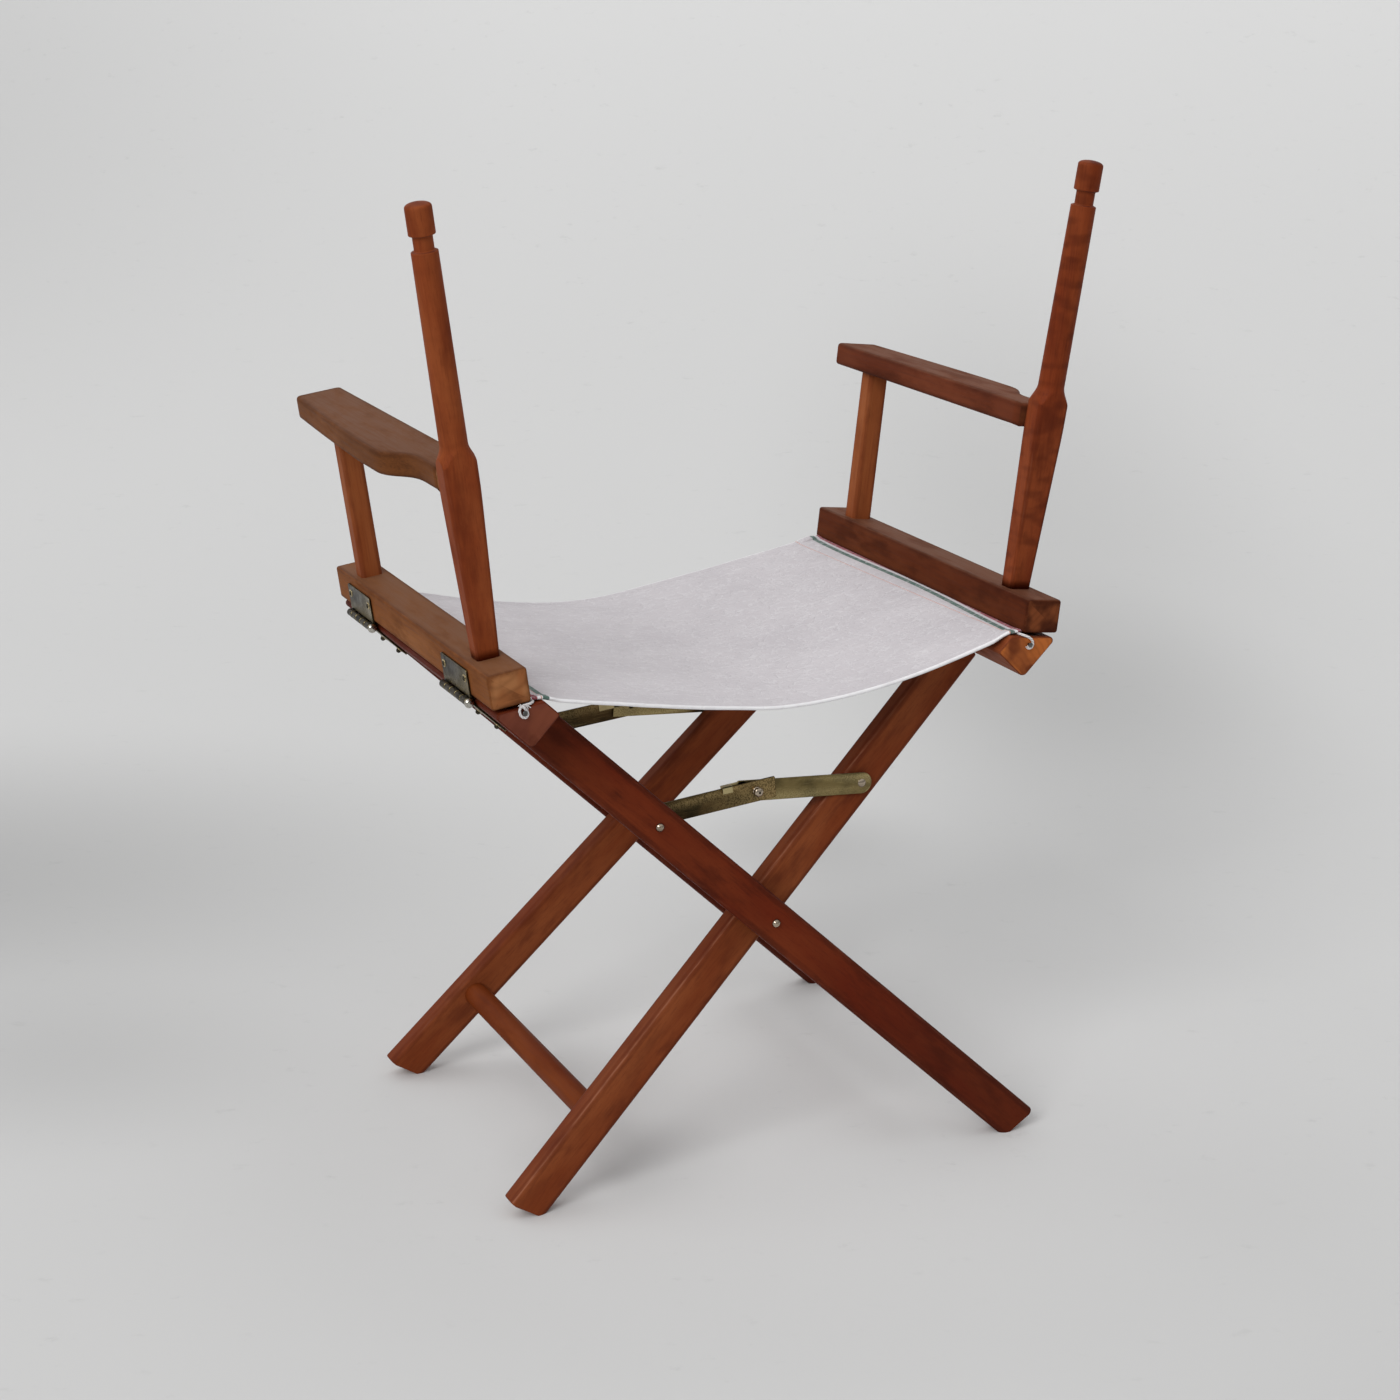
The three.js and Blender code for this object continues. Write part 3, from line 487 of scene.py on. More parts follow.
def rope(path: Array, radius: float, sides: int = 18, strands: int = 3, lay: float = 9.0,
         depth: float = 0.14) -> Shell:
    """A laid cord along a path.

    Args:
        path: The points of its middle line, closely spaced.
        radius: The cord's radius over its strands.
        sides: The number of points round it.
        strands: The number of strands.
        lay: The length of one full twist.
        depth: How deep the hollows between strands are, as a share of the radius.

    Returns:
        The cord's skin.
    """
    along = np.gradient(path, axis=0)
    along /= np.linalg.norm(along, axis=1)[:, None]
    normal, travelled = np.cross(along[0], (0.3, 0.2, 1.0)), 0.0
    angles = np.linspace(0, 2 * math.pi, sides, endpoint=False)
    rings, wear = [], []
    for index, point in enumerate(path):
        travelled += float(np.linalg.norm(point - path[max(index - 1, 0)]))
        normal = normal - along[index] * float(normal @ along[index])
        normal = normal / np.linalg.norm(normal)
        swell = 1 - depth * (0.5 - 0.5 * np.cos(strands * (angles - 2 * math.pi * travelled / lay)))
        spokes = np.cos(angles)[:, None] * normal + np.sin(angles)[:, None] * np.cross(along[index], normal)
        rings.append(point + radius * swell[:, None] * spokes)
        # Here the wear number is the depth into the hollows between strands, which the cord's finish paints
        # as shade.
        wear.append(1 - swell)
    return skin(rings, wear)


def smooth_path(points: Sequence[Sequence[float]], pitch: float) -> Array:
    """A smooth line through points that may be far apart or close together.

    Args:
        points: The points in order.
        pitch: How far apart the line's own points are.

    Returns:
        The line's points.
    """
    knots = np.array(points, float)
    ways = np.gradient(knots, axis=0)
    ways /= np.linalg.norm(ways, axis=1)[:, None]
    line = [knots[0]]
    for a, b, leaving, arriving in zip(knots, knots[1:], ways, ways[1:]):
        length = float(np.linalg.norm(b - a))
        steps = max(2, round(length / pitch))
        for t in np.arange(1, steps + 1) / steps:
            ease = t * t * (3 - 2 * t)
            bend = leaving * t * (1 - t) ** 2 - arriving * t * t * (1 - t)
            line.append(a + (b - a) * ease + bend * length)
    return np.array(line)


def smooth_step(value: Array | float, low: float, high: float) -> Array:
    """Rises smoothly from 0 at low to 1 at high."""
    share = np.clip((np.asarray(value, float) - low) / (high - low), 0, 1)
    return share * share * (3 - 2 * share)


# ---------------------------------------------------------------- finishes


class Recipe:
    """One material under construction, with short calls for the nodes that the finishes share."""

    def __init__(self, owner: Material | bpy.types.World) -> None:
        """Empties a material or a sky.

        Args:
            owner: The material or sky.
        """
        owner.use_nodes = True
        self.owner, self.tree = owner, owner.node_tree
        self.tree.nodes.clear()

    def node(self, kind: str, *values: Any, named: dict[str, Any] | None = None,
             **settings: Any) -> bpy.types.Node:
        """Adds a node.

        Args:
            kind: The node's type, without its prefix.
            values: What goes into its first inputs, each a socket or a plain value.
            named: What goes into inputs chosen by name.
            settings: The node's own settings.

        Returns:
            The node.
        """
        made = self.tree.nodes.new("ShaderNode" + kind)
        for key, value in settings.items():
            setattr(made, key, value)
        for socket, value in zip(made.inputs, values):
            self.feed(socket, value)
        for key, value in (named or {}).items():
            self.feed(made.inputs[key], value)
        return made

    def feed(self, socket: Socket, value: Any) -> None:
        """Links or sets one input.

        Args:
            socket: The input.
            value: A socket, a plain value, or None to leave it alone.
        """
        if isinstance(value, Socket):
            self.tree.links.new(value, socket)
        elif isinstance(value, tuple) and socket.type == "RGBA":
            socket.default_value = (*value, 1.0)
        elif value is not None:
            socket.default_value = value

    def math(self, operation: str, *values: Any) -> Socket:
        """The result of a plain sum on numbers."""
        return self.node("Math", *values, operation=operation).outputs[0]

    def times(self, first: Any, second: Any) -> Socket:
        """Two numbers multiplied."""
        return self.math("MULTIPLY", first, second)

    def vector(self, operation: str, *values: Any) -> Socket:
        """The result of a sum on vectors."""
        return self.node("VectorMath", *values, operation=operation).outputs[0]

    def span(self, value: Any, low: float, high: float, bottom: float = 0.0, top: float = 1.0) -> Socket:
        """A value taken smoothly from the range between low and high to the one between bottom and top."""
        made = self.node("MapRange", value, low, high, bottom, top, interpolation_type="SMOOTHSTEP")
        return made.outputs[0]

    def mix(self, share: Any, first: Any, second: Any) -> Socket:
        """Two colours mixed, with a share of the second."""
        colours = {FIRST_COLOUR: first, SECOND_COLOUR: second}
        return self.node("Mix", share, named=colours, data_type="RGBA").outputs[MIXED_COLOUR]

    def tint(self, tone: Any, colour: Any, share: Any, strength: Any) -> Socket:
        """A tone with a colour over it, as much as a share and a strength say together."""
        return self.mix(self.times(share, strength), tone, colour)

    def layer(self, tone: Any, colour: Any, value: Any, low: float, high: float, most: float = 1.0) -> Socket:
        """A tone with a colour over it, from none where a value is low to the most where it is high."""
        return self.mix(self.span(value, low, high, 0.0, most), tone, colour)

    def noise(self, place: Any, waves: Colour, detail: float = 3.0, roughness: float = 0.55) -> Socket:
        """Soft noise over a place in millimetres, with so many waves in each millimetre along x, y and z."""
        named = {"Vector": self.vector("MULTIPLY", place, waves), "Scale": 1.0, "Detail": detail}
        return self.node("TexNoise", named={**named, "Roughness": roughness}).outputs[0]

    def attribute(self, name: str, kind: str = "GEOMETRY") -> Socket:
        """A number kept on the mesh, or on the object itself."""
        return self.node("Attribute", attribute_name=name, attribute_type=kind).outputs["Fac"]

    def own_place(self) -> Socket:
        """The place in the piece's own frame in millimetres, moved by the piece's seed."""
        shift = self.vector("MULTIPLY", self.attribute("grain_seed", "OBJECT"), (731.0, 419.0, 1873.0))
        return self.vector("ADD", self.millimetres(), shift)

    def millimetres(self) -> Socket:
        """The place in the piece's own material in millimetres, with the grain along z."""
        return self.node("Attribute", attribute_name="place", attribute_type="GEOMETRY").outputs["Vector"]

    def bump(self, height: Any, distance: float, strength: float = 1.0, before: Any = None) -> Socket:
        """A normal bumped by a height of 0 to 1 that stands up by a distance in millimetres."""
        named = {"Strength": strength, "Distance": distance * MILLIMETRE, "Height": height, "Normal": before}
        return self.node("Bump", named=named).outputs[0]

    def finish(self, **inputs: Any) -> Material:
        """Ends a material with its surface, whose inputs are named with underscores for spaces.

        Args:
            inputs: The surface's inputs.

        Returns:
            The finished material.
        """
        surface = self.node("BsdfPrincipled", named={key.replace("_", " "): inputs[key] for key in inputs})
        self.node("OutputMaterial", surface.outputs[0])
        return self.owner


@dataclass(frozen=True)
class Finish:
    """What a piece is made of and how its surface looks."""

    name: str
    slot: str
    stock: str

    def material(self) -> Material:
        """The finish's material, made the first time that it is asked for."""
        return bpy.data.materials.get(self.name) or self.mixed(Recipe(bpy.data.materials.new(self.name)))

    def mixed(self, recipe: Recipe) -> Material:
        """Makes the material. Each kind of finish has its own."""
        raise NotImplementedError


@dataclass(frozen=True)
class WoodFinish(Finish):
    """Oiled and stained hardwood with faint growth rings and fine fibres, with painted shade and some soil on
    the arrises and a painted sky sheen, partly fading, on the tops.
    """

    slot: str = "stained_wood"
    stock: str = "timber"
    heart: Colour = (0.185, 0.038, 0.0135)
    pale: Colour = (0.235, 0.056, 0.019)
    dark: Colour = (0.085, 0.016, 0.0075)
    end: Colour = (0.12, 0.026, 0.014)
    end_pale: Colour = (0.20, 0.05, 0.02)
    worn: Colour = (0.36, 0.15, 0.085)
    faded: Colour = (0.20, 0.075, 0.042)
    ring_pitch: float = 6.5
    ring_strength: float = 0.10
    streaks: float = 0.30
    edge_wear: float = 0.08
    edge_dark: float = 0.55
    fading: float = 0.0
    ripple: float = 0.0
    end_rings: float = 0.18
    foot_shade: float = 0.0
    head_shade: float = 0.0
    shade_share: float = 0.55
    shine: float = 0.05
    gloss: float = 0.48

    def mixed(self, recipe: Recipe) -> Material:
        """Makes the wood.

        Args:
            recipe: The empty material.

        Returns:
            The finished material.
        """
        place = recipe.own_place()
        fibre = recipe.noise(place, (0.75, 0.75, 0.016), 5.0, 0.6)
        fine = recipe.noise(place, (3.0, 3.0, 0.06), 3.0, 0.55)
        pore = recipe.span(recipe.noise(place, (2.4, 2.4, 0.07), 2.0, 0.5), 0.62, 0.70)
        broad = recipe.noise(place, (0.03, 0.03, 0.0075), 3.0, 0.5)
        smoke = recipe.noise(place, (0.06, 0.06, 0.02), 4.0, 0.55)

        # Growth rings round a pith that wanders beside the piece.
        wander = recipe.noise(place, (0.02, 0.02, 0.004), 2.0).node.outputs["Color"]
        bent = recipe.vector("ADD", recipe.millimetres(),
                             recipe.vector("MULTIPLY", wander, (26.0, 26.0, 0.0)))
        axes = recipe.node("SeparateXYZ", recipe.vector("ADD", bent, (-38.0, 19.0, 0.0))).outputs
        squares = [recipe.math("POWER", axis, 2.0) for axis in axes[:2]]
        radius = recipe.math("SQRT", recipe.math("ADD", *squares))
        wave = recipe.math("SINE", recipe.times(radius, 2 * math.pi / self.ring_pitch))
        ring = recipe.math("POWER", recipe.math("MULTIPLY_ADD", wave, 0.5, 0.5), 2.5)

        tone = recipe.layer(self.heart, self.pale, broad, 0.32, 0.68)
        tone = recipe.layer(tone, self.dark, smoke, 0.48, 0.74, self.shade_share)
        tone = recipe.tint(tone, self.dark, ring, self.ring_strength)
        tone = recipe.layer(tone, self.pale, fibre, 0.50, 0.72, self.streaks)
        tone = recipe.layer(tone, self.dark, fibre, 0.50, 0.30, self.streaks)
        tone = recipe.layer(tone, self.dark, fine, 0.55, 0.75, self.streaks * 0.6)
        tone = recipe.tint(tone, self.dark, pore, 0.3)
        if self.ripple:
            curl = recipe.noise(place, (0.045, 0.045, 0.11), 1.0, 0.3)
            tone = recipe.layer(tone, self.dark, curl, 0.42, 0.72, self.ripple)
        # Painted shadow of the seat rail on the head of each outer leg, broken by noise; the leg also grows
        # darker towards its foot.
        if self.head_shade:
            along = recipe.node("SeparateXYZ", recipe.millimetres()).outputs[2]
            tone = recipe.tint(tone, self.dark, recipe.span(along, 195.0, 280.0, 0.0, self.head_shade),
                               recipe.span(smoke, 0.36, 0.58, 0.35, 1.0))
            tone = recipe.layer(tone, self.dark, along, -10.0, -230.0, self.foot_shade)

        blot = recipe.noise(place, (0.052, 0.052, 0.01), 1.5, 0.4)
        cut = recipe.layer(self.end_pale, self.end, blot, 0.40, 0.56)
        cut = recipe.layer(cut, self.dark, blot, 0.58, 0.74, 0.7)
        cut = recipe.layer(cut, self.dark, smoke, 0.55, 0.75, 0.35)
        cut = recipe.tint(cut, self.dark, ring, self.end_rings)
        tone = recipe.mix(recipe.span(recipe.attribute("ends"), 0.75, 0.93), tone, cut)
        tone = self.aged(recipe, place, tone, smoke, fibre)

        sheen = recipe.math("ADD", recipe.span(fibre, 0.3, 0.7, self.gloss - 0.05, self.gloss + 0.1),
                            recipe.span(smoke, 0.4, 0.75, 0.0, 0.14))
        relief = recipe.math("MULTIPLY_ADD", fine, 0.25, recipe.times(pore, -0.5))
        relief = recipe.math("MULTIPLY_ADD", fibre, 0.5, relief)
        normal = recipe.bump(relief, 0.10, 0.5, recipe.bump(broad, 1.2, 0.4))
        return recipe.finish(Base_Color=tone, Roughness=sheen, Specular_IOR_Level=self.shine, Normal=normal)

    def aged(self, recipe: Recipe, place: Socket, tone: Socket, smoke: Socket, fibre: Socket) -> Socket:
        """Paints the sky's sheen on the tops, partly as fading, darkens the arrises with painted shade and
        soil, and rubs them here and there; on the inner legs it paints shade on the narrow face and a pale
        line on the rear arris, a highlight that is partly rubbed wear.

        Args:
            recipe: The material under construction.
            place: The place in the wood.
            tone: The colour so far.
            smoke: Broad soft noise.
            fibre: Fine noise along the grain.

        Returns:
            The colour, aged and with its painted light and shade.
        """
        wear = recipe.attribute("wear")
        patchiness = recipe.noise(place, (0.07, 0.07, 0.03), 3.0, 0.6)
        chips = recipe.noise(place, (0.5, 0.5, 0.035), 4.0, 0.65)
        # Painted sky sheen: faces that look up are paler and greyer, partly as sun fading.
        top = recipe.span(recipe.attribute("faded"), 0.55, 0.95, 0.0, self.fading)
        tone = recipe.tint(tone, self.faded, top, recipe.span(smoke, 0.70, 0.42, 0.55, 1.0))
        # Painted shade along the arrises, mixed with soiling and broken up by noise.
        tone = recipe.tint(tone, self.dark, recipe.span(wear, 0.0, 0.8, 0.0, self.edge_dark),
                           recipe.span(patchiness, 0.68, 0.38, 0.35, 1.0))
        rubbed = recipe.times(recipe.span(wear, 0.75, 1.0), recipe.span(chips, 0.50, 0.64))
        tone = recipe.tint(tone, self.worn, rubbed, self.edge_wear)
        # Painted shade on the inner legs' narrow face beside the rear arris.
        tone = recipe.tint(tone, self.dark, recipe.attribute("narrow_face"), 0.42)
        # A pale line on the inner legs' rear arris: a painted highlight, partly rubbed wear.
        broken = recipe.times(recipe.span(fibre, 0.40, 0.56, 0.15, 1.0),
                              recipe.span(patchiness, 0.30, 0.55, 0.3, 1.0))
        return recipe.tint(tone, self.worn, recipe.times(recipe.attribute("rub"), broken), 0.5)


@dataclass(frozen=True)
class SteelFinish(Finish):
    """Plated steel whose plating is dull, stained and scratched."""

    plate: Colour = (0.34, 0.32, 0.25)
    stain: Colour = (0.10, 0.09, 0.065)
    bright: Colour = (0.62, 0.56, 0.40)
    stain_share: float = 0.5
    dullness: float = 0.42
    brushed: Colour = (0.10, 3.0, 3.0)

    def mixed(self, recipe: Recipe) -> Material:
        """Makes the metal.

        Args:
            recipe: The empty material.

        Returns:
            The finished material.
        """
        place = recipe.own_place()
        cloud = recipe.noise(place, (0.05, 0.09, 0.09), 4.0, 0.55)
        speck = recipe.noise(place, (0.9, 0.9, 0.9), 4.0, 0.6)
        scratch = recipe.noise(place, self.brushed, 2.0, 0.5)
        middle = 0.75 - 0.5 * self.stain_share
        tone = recipe.layer(self.plate, self.stain, cloud, middle - 0.13, middle + 0.13)
        tone = recipe.layer(tone, self.stain, speck, 0.52, 0.72, 0.15)
        tone = recipe.layer(tone, self.stain, scratch, 0.42, 0.28, 0.5)
        tone = recipe.layer(tone, self.bright, scratch, 0.58, 0.72, 0.28)
        # Rims and edges take the third colour by their wear number: rubbed plating, and in part a painted
        # highlight on the hinge knuckles and link edges. The nickel's third colour is dark, so its heads
        # darken round their foot.
        tone = recipe.tint(tone, self.bright, recipe.span(recipe.attribute("wear"), 0.3, 1.0),
                           recipe.span(speck, 0.62, 0.42, 0.2, 0.8))
        rough = recipe.math("ADD", recipe.span(cloud, 0.3, 0.7, self.dullness - 0.1, self.dullness + 0.12),
                            recipe.span(scratch, 0.5, 0.75, 0.0, 0.12))
        normal = recipe.bump(recipe.math("MULTIPLY_ADD", speck, 0.3, scratch), 0.04, 0.4)
        return recipe.finish(Base_Color=tone, Metallic=1.0, Roughness=rough, Normal=normal)


@dataclass(frozen=True)
class CanvasFinish(Finish):
    """Plain-woven cotton with coloured selvedge stripes and a line of stitching, seams read from the mesh,
    and painted highlight and shade on its long drag folds.
    """

    cloth: Colour = (0.585, 0.553, 0.573)
    shade: Colour = (0.535, 0.503, 0.525)
    green: Colour = (0.016, 0.088, 0.060)
    red: Colour = (0.25, 0.010, 0.028)
    thread: Colour = (0.60, 0.27, 0.20)
    green_at: float = 5.6
    green_width: float = 4.4
    red_at: float = 12.4
    red_width: float = 3.6
    thread_width: float = 0.7
    stitch_length: float = 3.2
    yarn_pitch: float = 0.85
    bleached: Colour = (0.86, 0.85, 0.86)
    hem_bright: float = 2.6

    def mixed(self, recipe: Recipe) -> Material:
        """Makes the canvas.

        Args:
            recipe: The empty material.

        Returns:
            The finished material.
        """
        to_millimetres = (1 / MILLIMETRE, 1 / MILLIMETRE, 0.0)
        flat = recipe.vector("MULTIPLY", recipe.node("UVMap", uv_map="cloth").outputs[0], to_millimetres)
        across, along = recipe.node("SeparateXYZ", flat).outputs[:2]
        turns = 2 * math.pi / self.yarn_pitch
        warp, weft = (recipe.math("SINE", recipe.times(way, turns)) for way in (across, along))
        weave = recipe.math("MULTIPLY_ADD", recipe.times(warp, weft), 0.5, 0.5)
        slub = recipe.noise(flat, (0.03, 1.1, 1.0), 3.0, 0.6)
        slub_up = recipe.noise(flat, (1.1, 0.03, 1.0), 3.0, 0.6)
        cloud = recipe.noise(flat, (0.012, 0.014, 1.0), 4.0, 0.6)
        tone = recipe.layer(self.cloth, self.shade, cloud, 0.35, 0.7)
        tone = recipe.layer(tone, self.shade, recipe.math("ADD", slub, slub_up), 0.85, 1.25, 0.3)
        tone = recipe.tint(tone, self.shade, weave, 0.14)
        stripes = recipe.attribute("from_rail")
        hem = recipe.attribute("from_edge")
        tone = recipe.layer(tone, self.bleached, hem, self.hem_bright, self.hem_bright * 0.5)
        worn = recipe.span(recipe.math("ADD", slub, recipe.times(weave, 0.3)), 0.3, 0.95, 1.0, 0.85)
        for colour, centre, width in ((self.green, self.green_at, self.green_width),
                                      (self.red, self.red_at, self.red_width)):
            away = recipe.math("ABSOLUTE", recipe.math("SUBTRACT", stripes, centre))
            tone = recipe.tint(tone, colour, recipe.span(away, width / 2 + 0.3, width / 2 - 0.3), worn)
        seam = recipe.math("ABSOLUTE", recipe.attribute("from_seam"))
        stitch = recipe.math("SINE", recipe.times(along, 2 * math.pi / self.stitch_length))
        sewn = recipe.times(recipe.span(seam, self.thread_width, self.thread_width * 0.45),
                            recipe.span(stitch, -0.75, -0.35))
        tone = recipe.tint(tone, self.thread, sewn, 0.8)
        crinkle = recipe.noise(flat, (0.055, 0.075, 1.0), 5.0, 0.58)
        crease = recipe.math("ABSOLUTE", recipe.math("SUBTRACT", crinkle, 0.5))
        drag = recipe.noise(flat, (0.035, 0.24, 1.0), 4.0, 0.6)
        tone = recipe.layer(tone, self.bleached, crease, 0.022, 0.004, 0.22)
        # Painted highlight on the ridges of the long drag folds and painted shade in their troughs.
        tone = recipe.layer(tone, self.bleached, drag, 0.52, 0.72, 0.15)
        tone = recipe.layer(tone, self.shade, drag, 0.46, 0.30, 0.28)
        relief = recipe.math("MULTIPLY_ADD", recipe.span(seam, 2.2, 0.4), -0.8,
                             recipe.math("MULTIPLY_ADD", sewn, 1.1, weave))
        normal = None
        for height, distance, strength in ((recipe.span(crease, 0.0, 0.06), 0.4, 0.6), (crinkle, 1.8, 0.6),
                                           (drag, 0.7, 0.6),
                                           (recipe.math("MULTIPLY_ADD", slub, 0.5, relief), 0.14, 0.5)):
            normal = recipe.bump(height, distance, strength, normal)
        return recipe.finish(Base_Color=tone, Roughness=0.88, Sheen_Weight=0.15, Sheen_Roughness=0.5,
                             Normal=normal)


@dataclass(frozen=True)
class CordFinish(Finish):
    """Soft laid cotton cord, with painted shade in the hollows between its strands."""

    cotton: Colour = (0.82, 0.80, 0.80)
    hollow: Colour = (0.42, 0.39, 0.38)

    def mixed(self, recipe: Recipe) -> Material:
        """Makes the cord.

        Args:
            recipe: The empty material.

        Returns:
            The finished material.
        """
        fuzz = recipe.noise(recipe.own_place(), (2.2, 2.2, 2.2), 4.0, 0.65)
        # Painted shade in the hollows between the strands.
        tone = recipe.layer(self.cotton, self.hollow, recipe.attribute("wear"), 0.03, 0.13, 0.8)
        tone = recipe.layer(tone, self.hollow, fuzz, 0.5, 0.75, 0.4)
        return recipe.finish(Base_Color=tone, Roughness=0.92, Sheen_Weight=0.2,
                             Normal=recipe.bump(fuzz, 0.2, 0.7))


@dataclass(frozen=True)
class BackdropFinish(Finish):
    """A seamless painted floor and backdrop, paler as it rises, with scuffs and soft patches of painted
    shadow and painted light.

    A patch holds its middle in the floor's own frame, its reach each way and how much paler the paint is; a
    painted shadow is below 0.
    """

    floor: Colour = (0.590, 0.588, 0.583)
    wall: Colour = (0.725, 0.724, 0.718)
    scuffs: float = 0.10
    patches: tuple[tuple[float, float, float, float, float], ...] = (
        (-500.0, -1200.0, 420.0, 780.0, -0.22),
        (-560.0, -2100.0, 560.0, 1400.0, -0.15),
        (900.0, -560.0, 950.0, 640.0, -0.30),
        (1900.0, -3900.0, 1700.0, 2000.0, -0.16),
        (-700.0, 800.0, 600.0, 650.0, -0.14),
        (-90.0, 40.0, 480.0, 480.0, 0.26),
        (60.0, 130.0, 130.0, 100.0, -0.16),
        (600.0, -60.0, 340.0, 250.0, -0.14),
        (-430.0, -30.0, 330.0, 300.0, 0.07),
        (-125.0, -660.0, 190.0, 190.0, -0.16),
    )

    def mixed(self, recipe: Recipe) -> Material:
        """Makes the paint.

        Args:
            recipe: The empty material.

        Returns:
            The finished material.
        """
        place = recipe.millimetres()
        height = recipe.node("SeparateXYZ", place).outputs[2]
        share: Any = 1.0
        # Painted soft shadows and pools of light: each patch makes the paint darker or paler towards its
        # middle.
        for x, y, reach_x, reach_y, gain in self.patches:
            offset = recipe.vector("SUBTRACT", place, (x, y, 0.0))
            scaled = recipe.vector("MULTIPLY", offset, (1 / reach_x, 1 / reach_y, 0.0))
            distance = recipe.node("VectorMath", scaled, operation="LENGTH").outputs["Value"]
            share = recipe.math("ADD", share, recipe.span(distance, 1.0, 0.0, 0.0, gain))
        scuff = recipe.noise(place, (0.004, 0.004, 0.004), 5.0, 0.6)
        fine = recipe.noise(place, (0.03, 0.045, 0.03), 5.0, 0.65)
        tone = recipe.layer(self.floor, self.wall, height, 0.0, 1500.0)
        marks = recipe.times(recipe.span(fine, 0.60, 0.76, 0.0, self.scuffs), recipe.span(scuff, 0.35, 0.6))
        gain = recipe.times(share, recipe.math("SUBTRACT", 1.0, marks))
        tone = recipe.node("VectorMath", tone, named={"Scale": gain}, operation="SCALE")
        return recipe.finish(Base_Color=tone.outputs[0], Roughness=0.85, Normal=recipe.bump(scuff, 0.3, 0.2))


